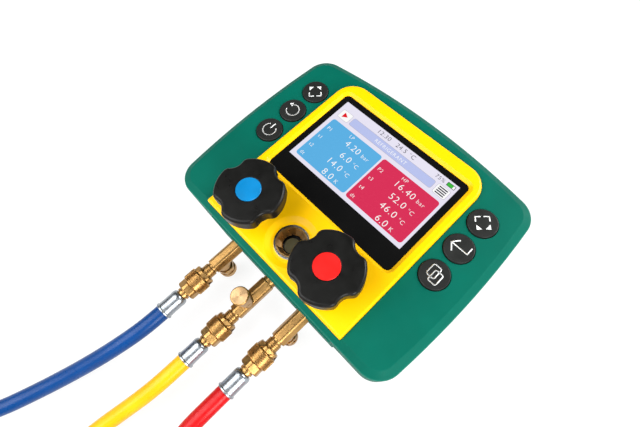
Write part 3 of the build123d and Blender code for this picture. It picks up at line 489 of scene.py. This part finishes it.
def add_piece(name, mesh_data, materials, body, nodes=()):
    """Finishes a bmesh as an object that rides on a body. It closes the bmesh."""
    for face in mesh_data.faces:
        face.smooth = True
    for edge in mesh_data.edges:
        if edge.is_manifold and edge.calc_face_angle() > radians(CREASE):
            edge.smooth = False
    mesh = bpy.data.meshes.new(name)
    mesh_data.to_mesh(mesh)
    mesh_data.free()
    for material in materials:
        mesh.materials.append(material)
    piece = bpy.data.objects.new(name, mesh)
    bpy.context.scene.collection.objects.link(piece)
    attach(piece, body)
    if nodes:
        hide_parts(*nodes)
    flat = piece.modifiers.new("flat_faces", "WEIGHTED_NORMAL")
    flat.keep_sharp = True
    return piece


def scaled(mesh_data):
    """Turns millimetres into metres."""
    bmesh.ops.scale(mesh_data, vec=(MM, MM, MM), verts=mesh_data.verts)
    return mesh_data


def moved(mesh_data, matrix):
    """Moves all of a bmesh."""
    bmesh.ops.transform(mesh_data, matrix=matrix, verts=mesh_data.verts)
    return mesh_data


def merge(target, source):
    """Adds one bmesh to another and closes it."""
    holder = bpy.data.meshes.new("holder")
    source.to_mesh(holder)
    source.free()
    target.from_mesh(holder)
    bpy.data.meshes.remove(holder)
    return target


def round_edges(mesh_data, width, limit, segments):
    """Rounds every edge that is sharper than the limit."""
    sharp = [e for e in mesh_data.edges if e.is_manifold and e.calc_face_angle() > radians(limit)]
    bmesh.ops.bevel(mesh_data, geom=sharp, offset=width, offset_type="OFFSET", affect="EDGES",
                    segments=segments, profile=0.5, material=-1, clamp_overlap=False, loop_slide=True)


def packed_copy(node, width, limit, segments=2):
    """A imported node's triangles joined into faces in metres, with its edges rounded."""
    mesh_data = bmesh.new()
    mesh_data.from_mesh(frame["nodes"][node].data)
    bmesh.ops.remove_doubles(mesh_data, verts=mesh_data.verts, dist=2e-6)
    bmesh.ops.dissolve_limit(mesh_data, angle_limit=radians(FLAT), verts=mesh_data.verts,
                             edges=mesh_data.edges)
    for layer in list(mesh_data.loops.layers.uv):
        mesh_data.loops.layers.uv.remove(layer)
    if width:
        skin = BVHTree.FromBMesh(mesh_data)
        round_edges(mesh_data, width, limit, segments)
        for vert in mesh_data.verts:        # a mitre that ran off goes back onto the solid
            place, _, _, gap = skin.find_nearest(vert.co)
            if gap > width:
                vert.co = place
    return mesh_data


def turned_shape(profile, steps):
    """A closed (radius, height) outline turned round Z."""
    mesh_data = bmesh.new()
    verts = [mesh_data.verts.new((r, 0, h)) for r, h in profile]
    edges = [mesh_data.edges.new(pair) for pair in zip(verts, verts[1:] + verts[:1])]
    bmesh.ops.spin(mesh_data, geom=verts + edges, cent=(0, 0, 0), axis=(0, 0, 1), dvec=(0, 0, 0),
                   angle=tau, steps=steps, use_merge=True)
    bmesh.ops.remove_doubles(mesh_data, verts=mesh_data.verts, dist=1e-4)
    bmesh.ops.recalc_face_normals(mesh_data, faces=mesh_data.faces)
    return mesh_data


def prism(outline, low, high, material=0, target=None):
    """An upright plate with this outline, added to the target."""
    mesh_data = target or bmesh.new()
    before = set(mesh_data.faces)
    base = mesh_data.faces.new([mesh_data.verts.new((x, y, low)) for x, y in outline])
    result = bmesh.ops.extrude_face_region(mesh_data, geom=[base])
    top = [v for v in result["geom"] if isinstance(v, bmesh.types.BMVert)]
    bmesh.ops.translate(mesh_data, vec=(0, 0, high - low), verts=top)
    made = [f for f in mesh_data.faces if f not in before]
    bmesh.ops.recalc_face_normals(mesh_data, faces=made)
    for face in made:
        face.material_index = material
    return mesh_data


def rounded_box(x0, x1, y0, y1, radius, arc=4):
    """Outline of a rectangle with round corners."""
    corners = ((x1 - radius, y1 - radius, 0), (x0 + radius, y1 - radius, 90),
               (x0 + radius, y0 + radius, 180), (x1 - radius, y0 + radius, 270))
    outline = []
    for centre_x, centre_y, start in corners:
        for i in range(arc + 1):
            angle = radians(start + 90 * i / arc)
            outline.append((centre_x + radius * cos(angle), centre_y + radius * sin(angle)))
    return outline


def line_shape(points, width, thick, target):
    """A printed line of even width through these points, with square ends, added to the target."""
    left, right = [], []
    for i, (x, y) in enumerate(points):
        before = points[max(0, i - 1)]
        after = points[min(len(points) - 1, i + 1)]
        first = Vector((x - before[0], y - before[1]))
        second = Vector((after[0] - x, after[1] - y))
        first = first.normalized() if first.length else second.normalized()
        second = second.normalized() if second.length else first
        along = (first + second).normalized()
        reach = width / 2 / max(0.3, along.dot(second))
        left.append((x - along.y * reach, y + along.x * reach))
        right.append((x + along.y * reach, y - along.x * reach))
    for i in range(len(points) - 1):
        prism([right[i], right[i + 1], left[i + 1], left[i]], 0.0, thick, target=target)
    bmesh.ops.remove_doubles(target, verts=target.verts, dist=1e-4)


def lettering(text, x, y, z, height, material, align, target):
    """Plain generic text laid flat, with its capitals this high, added to the target."""
    curve = bpy.data.curves.new("words", "FONT")
    curve.body = text
    curve.size = height / CAPITALS
    curve.align_x = align
    curve.resolution_u = 3
    curve.space_character = LETTER_SPACE
    curve.offset = -height * LETTER_THIN
    curve.extrude = LETTER_THICK / 2
    holder = bpy.data.objects.new("words", curve)
    bpy.context.scene.collection.objects.link(holder)
    bpy.context.view_layer.update()
    mesh = bpy.data.meshes.new_from_object(holder)
    source = bmesh.new()
    source.from_mesh(mesh)
    bpy.data.objects.remove(holder)
    bpy.data.curves.remove(curve)
    bpy.data.meshes.remove(mesh)
    bmesh.ops.remove_doubles(source, verts=source.verts, dist=1e-5)
    bmesh.ops.translate(source, vec=(x, y - height / 2, z + LETTER_THICK / 2), verts=source.verts)
    for face in source.faces:
        face.material_index = material
    merge(target, source)


def facing(origin, axis):
    """Matrix that stands local Z along an axis at a point, both in millimetres."""
    turn = Vector(axis).to_track_quat("Z", "X").to_matrix().to_4x4()
    return Matrix.Translation(origin) @ turn


# ---------------------------------------------------------------- hoses
def far_end(colour):
    """Where a coiled hose ends, and the way its fitting points."""
    angle = radians(COIL_ENTRY[colour] + COIL_SWEEP[colour])
    radius = COIL_R[colour] - END_TUCK
    x, y = COIL_CENTRE[colour]
    z = (1 + 2 * COIL_LEVEL[colour]) * HOSE_R + END_RISE
    place = Vector((x + radius * cos(angle), y + radius * sin(angle), z))
    return place, Vector((-sin(angle), cos(angle), 0))


def coil_points(colour):
    """Control points of the coiled turns, each lying on the one before."""
    sweep = COIL_SWEEP[colour]
    x, y = COIL_CENTRE[colour]
    points = []
    turn = 0.0
    while turn < sweep - COIL_STEP:
        lift = 0.0
        for level in range(COIL_LEVEL[colour]):
            part = (turn - CLIMB[0] - level * CLIMB_AGAIN) / (CLIMB[1] - CLIMB[0])
            part = min(1.0, max(0.0, part))
            lift += 2 * HOSE_R * part * part * (3 - 2 * part)
        last = max(0.0, (turn - sweep + END_SWEEP) / END_SWEEP)
        radius = COIL_R[colour] - END_TUCK * last
        angle = radians(COIL_ENTRY[colour] + turn)
        points.append((x + radius * cos(angle), y + radius * sin(angle), HOSE_R + lift + END_RISE * last))
        turn += COIL_STEP
    place, way = far_end(colour)
    points.append(tuple(place - way * (COIL_R[colour] * tan(radians(COIL_STEP / 2)))))
    points.append(tuple(place))
    return points


def make_hose(colour, width):
    """One charging hose from its near ferrule to its far one."""
    curve = bpy.data.curves.new("hose_line_" + colour, "CURVE")
    curve.dimensions = "3D"
    curve.resolution_u = 8
    curve.bevel_depth = width / 2
    curve.bevel_resolution = 6
    curve.use_fill_caps = True
    points = HOSE_ROUTES[colour] + coil_points(colour)
    spline = curve.splines.new("NURBS")
    spline.points.add(len(points) - 1)
    for control, (x, y, z) in zip(spline.points, points):
        control.co = (x * MM, y * MM, z * MM, 1)
    spline.order_u = 3
    spline.use_endpoint_u = True
    curve.materials.append(finishes["hose_" + colour])
    piece = bpy.data.objects.new("charging_hose_" + colour, curve)
    bpy.context.scene.collection.objects.link(piece)
    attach(piece, "housing")
    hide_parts("hose_" + colour, "coil_" + colour)
    return piece


# ---------------------------------------------------------------- fittings
def near_place(colour):
    """Matrix of a hose's near end, pointing at the manifold."""
    return facing((PORT_X[colour], HOSE_END_Y[colour], PORT_Z[colour]), (0, 1, 0))


def ferrule_shape():
    """Crimped sleeve: lip, plain barrel with a shallow crimp, and a round shoulder."""
    crimped = FERRULE_R - CRIMP
    return turned_shape([
        (LIP_IN, 0.0), (LIP_R - LIP_EDGE, 0.0), (LIP_R, LIP_EDGE), (LIP_R, LIP_LEN - LIP_EDGE),
        (LIP_R - LIP_EDGE, LIP_LEN), (FERRULE_R + 0.05, 1.6), (FERRULE_R, 2.2), (crimped, 5.0),
        (crimped, 11.5), (FERRULE_R, 12.6), (FERRULE_R, FERRULE_LEN - 2.2),
        (FERRULE_R - 0.35, FERRULE_LEN - 1.0), (FERRULE_R - 1.1, FERRULE_LEN - 0.25),
        (FERRULE_R - 1.8, FERRULE_LEN), (FERRULE_BORE, FERRULE_LEN), (FERRULE_BORE, 0.0)], FERRULE_STEPS)


def grip_shape(sizes):
    """Crossed helical ridges round a nut's barrel, in millimetres along its axis."""
    shape = bmesh.new()
    count = sizes.grip_ridges
    height = sizes.grip_height / MM
    foot = pi * BARREL_R / count * 0.5
    crest = foot * GRIP_CREST
    length = BARREL_LEN - 2 * GRIP_MARGIN
    section = ((-foot, -GRIP_ROOT), (foot, -GRIP_ROOT), (crest, height), (-crest, height))
    for way in (1, -1):
        ridges = bmesh.new()
        for i in range(count):
            angle = tau * i / count
            along, across = Vector((cos(angle), sin(angle), 0)), Vector((-sin(angle), cos(angle), 0))
            corners = [along * (BARREL_R + out) + across * side for side, out in section]
            ridges.faces.new([ridges.verts.new(corner) for corner in corners])
        bmesh.ops.spin(ridges, geom=ridges.faces[:], cent=(0, 0, 0), axis=(0, 0, 1),
                       dvec=(0, 0, length / GRIP_STEPS), angle=way * length / BARREL_R * GRIP_SLOPE,
                       steps=GRIP_STEPS)
        bmesh.ops.recalc_face_normals(ridges, faces=ridges.faces)
        merge(shape, ridges)
    return moved(shape, Matrix.Translation((0, 0, BARREL_START + GRIP_MARGIN)))


def thread_shape():
    """Outside thread of an adapter's neck, as rings on one sleeve."""
    root, end = THREAD_R - THREAD_DEPTH, NECK_START + NECK_LEN
    profile = [(root, NECK_START)]
    for i in range(int(NECK_LEN / THREAD_PITCH)):
        low = NECK_START + i * THREAD_PITCH
        profile += [(r, low + share * THREAD_PITCH)
                    for r, share in zip((root, THREAD_R, THREAD_R, root), THREAD_FLANKS)]
    profile += [(root, end), (root - THREAD_CORE, end), (root - THREAD_CORE, NECK_START)]
    return turned_shape(profile, THREAD_STEPS)


# ---------------------------------------------------------------- symbols and screen
def arc_points(radius, start, end):
    """Points of an arc round (0, 0), between two angles in degrees."""
    return [(radius * cos(radians(a)), radius * sin(radians(a))) for a in range(start, end, ARC_STEP)]


def glyph_shape(name, width):
    """The symbol on a button, round (0, 0) in millimetres."""
    shape = bmesh.new()

    def stroke(points, target=shape):
        line_shape(points, width, GLYPH_THICK, target)

    def solid(points, target=shape):
        prism(points, 0.0, GLYPH_THICK, target=target)

    if "select" in name:
        filled = ("right", "bottom") if "right" in name else ("left", "top")
        for side, angle in (("right", 0), ("top", 90), ("left", 180), ("bottom", 270)):
            corner = bmesh.new()
            back = GLYPH_REACH - 2.2
            if side in filled:
                solid([(back, -2.0), (GLYPH_REACH, 0), (back, 2.0)], corner)
            else:
                stroke([(back, -2.2), (GLYPH_REACH, 0), (back, 2.2)], corner)
            merge(shape, moved(corner, Matrix.Rotation(radians(angle), 4, "Z")))
    elif "refresh" in name:
        radius, head = 4.3, radians(149)
        stroke(arc_points(radius, 203, 510))
        x, y = radius * cos(head), radius * sin(head)
        solid([(x + 0.1, y + 2.2), (x + 1.4, y - 0.6), (x - 1.6, y + 0.2)])
    elif "power" in name:
        stroke(arc_points(4.4, 128, 413))
        stroke([(0, 1.2), (0, GLYPH_REACH)])
    elif "return" in name:
        stroke([(-2.2, 4.0), (-5.4, 0), (-2.2, -4.0)])
        stroke([(-5.2, 0), (5.2, 0), (5.2, 4.6)])
    else:
        for x, y in ((-1.3, 1.1), (1.5, -1.1)):
            box = rounded_box(x - 2.6, x + 2.6, y - 3.6, y + 3.6, 1.0, 2)
            stroke(box + box[:1])
    return shape


def screen_shape():
    """Everything shown on the screen, in millimetres, with a generic set of readings."""
    index = list(SCREEN_COLOURS).index
    z = SCREEN_Z
    shape = prism(rounded_box(*SCREEN, 0.4, 2), z - 0.03, z, index("paper"))

    def plate(x0, x1, y0, y1, colour, radius, level=1):
        prism(rounded_box(x0, x1, y0, y1, radius), z, z + LAYER * level, index(colour), shape)

    def framed(x0, x1, y0, y1, colour, radius):
        line = FRAME_LINE
        plate(x0, x1, y0, y1, "edge", radius)
        plate(x0 + line, x1 - line, y0 + line, y1 - line, colour, radius - 0.2, 2)

    def on_top(outline, colour):
        prism(outline, z + 2 * LAYER, z + 3 * LAYER, index(colour), shape)

    def words(text, x, y, height, colour, align="CENTER"):
        lettering(text, x, y, z + 2 * LAYER, height, index(colour), align, shape)

    framed(*TITLE_BAR, "bar", 1.6)
    plate(*LOW_PANEL, "low", 2.2)
    plate(*HIGH_PANEL, "high", 2.2)
    framed(*FLAG_BOX, "white", 1.4)
    on_top(FLAG, "alert")
    framed(*MENU_BOX, "white", 1.4)
    x0, x1, half = MENU_LINE
    for y in MENU_ROWS:
        on_top(rounded_box(x0, x1, y - half, y + half, 0.2, 2), "ink")
    words("REFRIGERANT", 0, 40.7, 3.1, "white")
    words("12:30   24.5 °C", -1.0, 48.3, 3.7, "ink")
    words("75%", 39.6, 48.4, 3.2, "ink")
    plate(*CELL_CASE, "ink", 0.4)
    plate(*CELL_EMPTY, "white", 0.3, 2)
    plate(*CELL_FULL, "green", 0.2, 3)
    for heading, left, value_end, unit_start, rows in READINGS:
        words(heading, (left + value_end) / 2 + 3, HEADING_Y, HEADING_TALL, "white")
        for y, (value, unit, label) in zip(ROWS, rows):
            words(value, value_end, y, VALUE_TALL, "white", "RIGHT")
            words(unit, unit_start, y - UNIT_DROP, UNIT_TALL, "white", "LEFT")
            words(label, left, y, LABEL_TALL, "white", "LEFT")
    return shape


# ---------------------------------------------------------------- studio
def studio_air():
    """World that is pale at the horizon, bright on one side and dim overhead."""
    world = bpy.data.worlds.new("studio_air")
    world.use_nodes = True
    tree = world.node_tree

    def add(kind, source, **settings):
        node = tree.nodes.new("ShaderNode" + kind)
        for key, value in settings.items():
            setattr(node, key, value)
        tree.links.new(source, node.inputs[0])
        return node

    def ramp(source, limits):
        node = add("MapRange", source)
        for socket, value in zip(("From Min", "From Max", "To Min", "To Max"), limits):
            node.inputs[socket].default_value = value
        return node.outputs["Result"]

    where = tree.nodes.new("ShaderNodeTexCoord").outputs["Generated"]
    side = add("VectorMath", where, operation="DOT_PRODUCT")
    side.inputs[1].default_value = Vector(AIR_BRIGHT_SIDE).normalized()
    height = add("SeparateXYZ", where)
    both = add("Math", ramp(side.outputs["Value"], AIR_SIDE), operation="ADD")
    tree.links.new(ramp(height.outputs["Z"], AIR_HORIZON), both.inputs[1])
    air = tree.nodes["Background"]
    air.inputs["Color"].default_value = (1, 1, 1, 1)
    tree.links.new(both.outputs[0], air.inputs["Strength"])
    return world


# ---------------------------------------------------------------- operators
class MESH_OT_gauge_finishes(bpy.types.Operator):
    """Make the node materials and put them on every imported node"""
    bl_idname = "mesh.gauge_finishes"
    bl_label = "Finishes"

    def execute(self, context):
        finishes.update(make_finishes(context.scene.gauge_colours))
        for node, piece in frame["nodes"].items():
            material = finishes[node_slot(node)]
            piece.data.materials.clear()
            piece.data.materials.append(material)
        return {"FINISHED"}


class MESH_OT_gauge_hoses(bpy.types.Operator):
    bl_idname = "mesh.gauge_hoses"
    bl_label = "Charging hoses"

    def execute(self, context):
        width = context.scene.gauge_sizes.hose_width
        for colour in COLOURS:
            hose = make_hose(colour, width)
        return {"FINISHED"}


class MESH_OT_gauge_hose_fittings(bpy.types.Operator):
    """Dress the swivel nuts and ferrules at both ends of each hose"""
    bl_idname = "mesh.gauge_hose_fittings"
    bl_label = "Hose fittings"

    def execute(self, context):
        sizes = context.scene.gauge_sizes
        brass, zinc = finishes["brass"], finishes["zinc"]
        sleeves = bmesh.new()
        for colour in COLOURS:
            merge(sleeves, moved(ferrule_shape(), near_place(colour)))
            place, way = far_end(colour)
            matrix = facing(place, way)
            far = scaled(moved(ferrule_shape(), matrix))
            add_piece("far_ferrule_sleeve_" + colour, far, [zinc], "housing",
                      ["far_ferrule_" + colour])
            for end, where in (("near", near_place(colour)), ("far", matrix)):
                node = "%s_nut_%s" % (end, colour)
                nut = packed_copy(node, sizes.metal_edge, NUT_SHARP)
                merge(nut, scaled(moved(grip_shape(sizes), where)))
                add_piece("%s_swivel_nut_%s" % (end, colour), nut, [brass], node, [node])
        add_piece("near_ferrule_sleeves", scaled(sleeves), [zinc], "housing", ["near_ferrules"])
        return {"FINISHED"}


class MESH_OT_gauge_adapters(bpy.types.Operator):
    """Dress the brass adapters and the caps on their side stubs"""
    bl_idname = "mesh.gauge_adapters"
    bl_label = "Adapters"

    def execute(self, context):
        edge = context.scene.gauge_sizes.metal_edge
        brass = finishes["brass"]
        for colour in COLOURS:
            shape = packed_copy("adapter_" + colour, edge, FITTING_SHARP)
            where = facing((PORT_X[colour], HEX_START_Y[colour], PORT_Z[colour]), (0, -1, 0))
            merge(shape, scaled(moved(thread_shape(), where)))
            add_piece("hose_adapter_" + colour, shape, [brass], "housing", ["adapter_" + colour])
            node = "stub_cap_" + colour
            cap = packed_copy(node, edge, FITTING_SHARP)
            facing_up = colour == "yellow"
            for face in cap.faces:
                face.material_index = int(facing_up and face.normal.z > 0.99)
            add_piece("access_cap_" + colour, cap, [brass, finishes["cap_brass"]], node, [node])
        return {"FINISHED"}


class MESH_OT_gauge_housing(bpy.types.Operator):
    """Round the edges of the boot, the back shell and its battery door"""
    bl_idname = "mesh.gauge_housing"
    bl_label = "Housing"

    def execute(self, context):
        soft = context.scene.gauge_sizes.edge_soft
        for node, name, limit in (("boot", "rubber_boot", BOOT_SHARP),
                                  ("rear_shell", "back_shell", SHELL_SHARP),
                                  ("battery_door", "back_door", SHELL_SHARP)):
            slot = node_slot(node)
            shape = packed_copy(node, soft, limit)
            add_piece(name, shape, [finishes[slot]], "housing", [node])
        return {"FINISHED"}


class MESH_OT_gauge_knobs(bpy.types.Operator):
    """Round the edges of the two hand knobs"""
    bl_idname = "mesh.gauge_knobs"
    bl_label = "Hand knobs"

    def execute(self, context):
        for colour in SIDES:
            body = "knob_" + colour
            shape = packed_copy(body, KNOB_EDGE, KNOB_SHARP, KNOB_EDGE_STEPS)
            add_piece("hand_knob_" + colour, shape, [finishes["knob_black"]], body, [body])
        return {"FINISHED"}


class MESH_OT_gauge_buttons(bpy.types.Operator):
    """Print the symbols on the six push buttons"""
    bl_idname = "mesh.gauge_buttons"
    bl_label = "Buttons"

    def execute(self, context):
        width = context.scene.gauge_sizes.glyph_line / MM
        print_white = Finish("symbol_print_look", (0.85, 0.87, 0.86), 0.4).mottle(200, 0.05).material
        for node, (x, y) in BUTTONS.items():
            place = Matrix.Translation((x, y, BUTTON_Z)) @ Matrix.Scale(GLYPH_SCALE, 4)
            symbol = scaled(moved(glyph_shape(node, width / GLYPH_SCALE), place))
            add_piece(node + "_symbol", symbol, [print_white], node)
        return {"FINISHED"}


class MESH_OT_gauge_screen(bpy.types.Operator):
    """Lay the lit screen under the front glass"""
    bl_idname = "mesh.gauge_screen"
    bl_label = "Screen"

    def execute(self, context):
        colours = context.scene.gauge_colours
        table = dict(SCREEN_COLOURS, low=colours.screen_low, high=colours.screen_high)
        materials = [screen_light("screen_%s_look" % key, tuple(value)).material
                     for key, value in table.items()]
        add_piece("lit_screen", scaled(screen_shape()), materials, "housing")
        return {"FINISHED"}


class SCENE_OT_gauge_stage(bpy.types.Operator):
    """Set the pale floor, the soft studio light and the camera"""
    bl_idname = "scene.gauge_stage"
    bl_label = "Stage"

    def execute(self, context):
        scene = context.scene
        floor = bmesh.new()
        bmesh.ops.create_grid(floor, x_segments=1, y_segments=1, size=FLOOR_HALF)
        bmesh.ops.translate(floor, vec=(0, 0, -FLOOR_DROP), verts=floor.verts)
        mesh = bpy.data.meshes.new("studio_floor")
        floor.to_mesh(mesh)
        floor.free()
        paper = Finish("studio_floor_look", (0.2, 0.2, 0.2), 0.9, Specular_IOR_Level=0.0)
        paper.shader.inputs["Emission Color"].default_value = (1, 1, 1, 1)
        paper.shader.inputs["Emission Strength"].default_value = FLOOR_GLOW
        mesh.materials.append(paper.material)
        stage = bpy.data.objects.new("studio_floor", mesh)
        scene.collection.objects.link(stage)
        scene.world = studio_air()
        for name, place, size, power in LAMPS:
            lamp = bpy.data.lights.new("studio_" + name, "AREA")
            lamp.energy = power
            lamp.size = size
            holder = bpy.data.objects.new("studio_" + name, lamp)
            holder.matrix_world = facing(place, Vector(place) - Vector(LAMP_AIM))
            scene.collection.objects.link(holder)
        camera = bpy.data.cameras.new("studio_camera")
        camera.lens = CAMERA_LENS
        camera.sensor_width = 36.0
        camera.clip_start = 0.01
        eye = bpy.data.objects.new("studio_camera", camera)
        eye.location = CAMERA_PLACE
        eye.rotation_euler = Euler([radians(v) for v in CAMERA_TURN], "XYZ")
        scene.collection.objects.link(eye)
        scene.camera = eye
        scene.view_settings.view_transform = "Standard"
        return {"FINISHED"}


STEPS = (MESH_OT_gauge_finishes, MESH_OT_gauge_hose_fittings, MESH_OT_gauge_adapters, MESH_OT_gauge_housing,
         MESH_OT_gauge_knobs, MESH_OT_gauge_buttons, MESH_OT_gauge_screen, MESH_OT_gauge_hoses,
         SCENE_OT_gauge_stage)


class VIEW3D_PT_gauge(bpy.types.Panel):
    """Sidebar panel with the gauge's settings and steps"""
    bl_idname = "VIEW3D_PT_gauge"
    bl_label = "Manifold Gauge"
    bl_space_type = "VIEW_3D"
    bl_region_type = "UI"
    bl_category = "Manifold Gauge"

    def draw(self, context):
        layout = self.layout
        for group in (context.scene.gauge_sizes, context.scene.gauge_colours):
            for key in group.__annotations__:
                layout.prop(group, key)
        for step in STEPS:
            layout.operator(step.bl_idname)


CLASSES = (GaugeSizes, GaugeColours, *STEPS, VIEW3D_PT_gauge)


def register():
    """Registers the classes and hangs the settings on the scene."""
    for cls in CLASSES:
        bpy.utils.register_class(cls)
    bpy.types.Scene.gauge_sizes = bpy.props.PointerProperty(type=GaugeSizes)
    bpy.types.Scene.gauge_colours = bpy.props.PointerProperty(type=GaugeColours)


def unregister():
    """Takes the settings and classes away again."""
    del bpy.types.Scene.gauge_colours
    del bpy.types.Scene.gauge_sizes
    for cls in reversed(CLASSES):
        bpy.utils.unregister_class(cls)


def main():
    """Runs every step in order."""
    register()
    bpy.ops.mesh.gauge_finishes()
    bpy.ops.mesh.gauge_hose_fittings()
    bpy.ops.mesh.gauge_adapters()
    bpy.ops.mesh.gauge_housing()
    bpy.ops.mesh.gauge_knobs()
    bpy.ops.mesh.gauge_buttons()
    bpy.ops.mesh.gauge_screen()
    bpy.ops.mesh.gauge_hoses()
    bpy.ops.scene.gauge_stage()


if __name__ == "__main__":
    main()
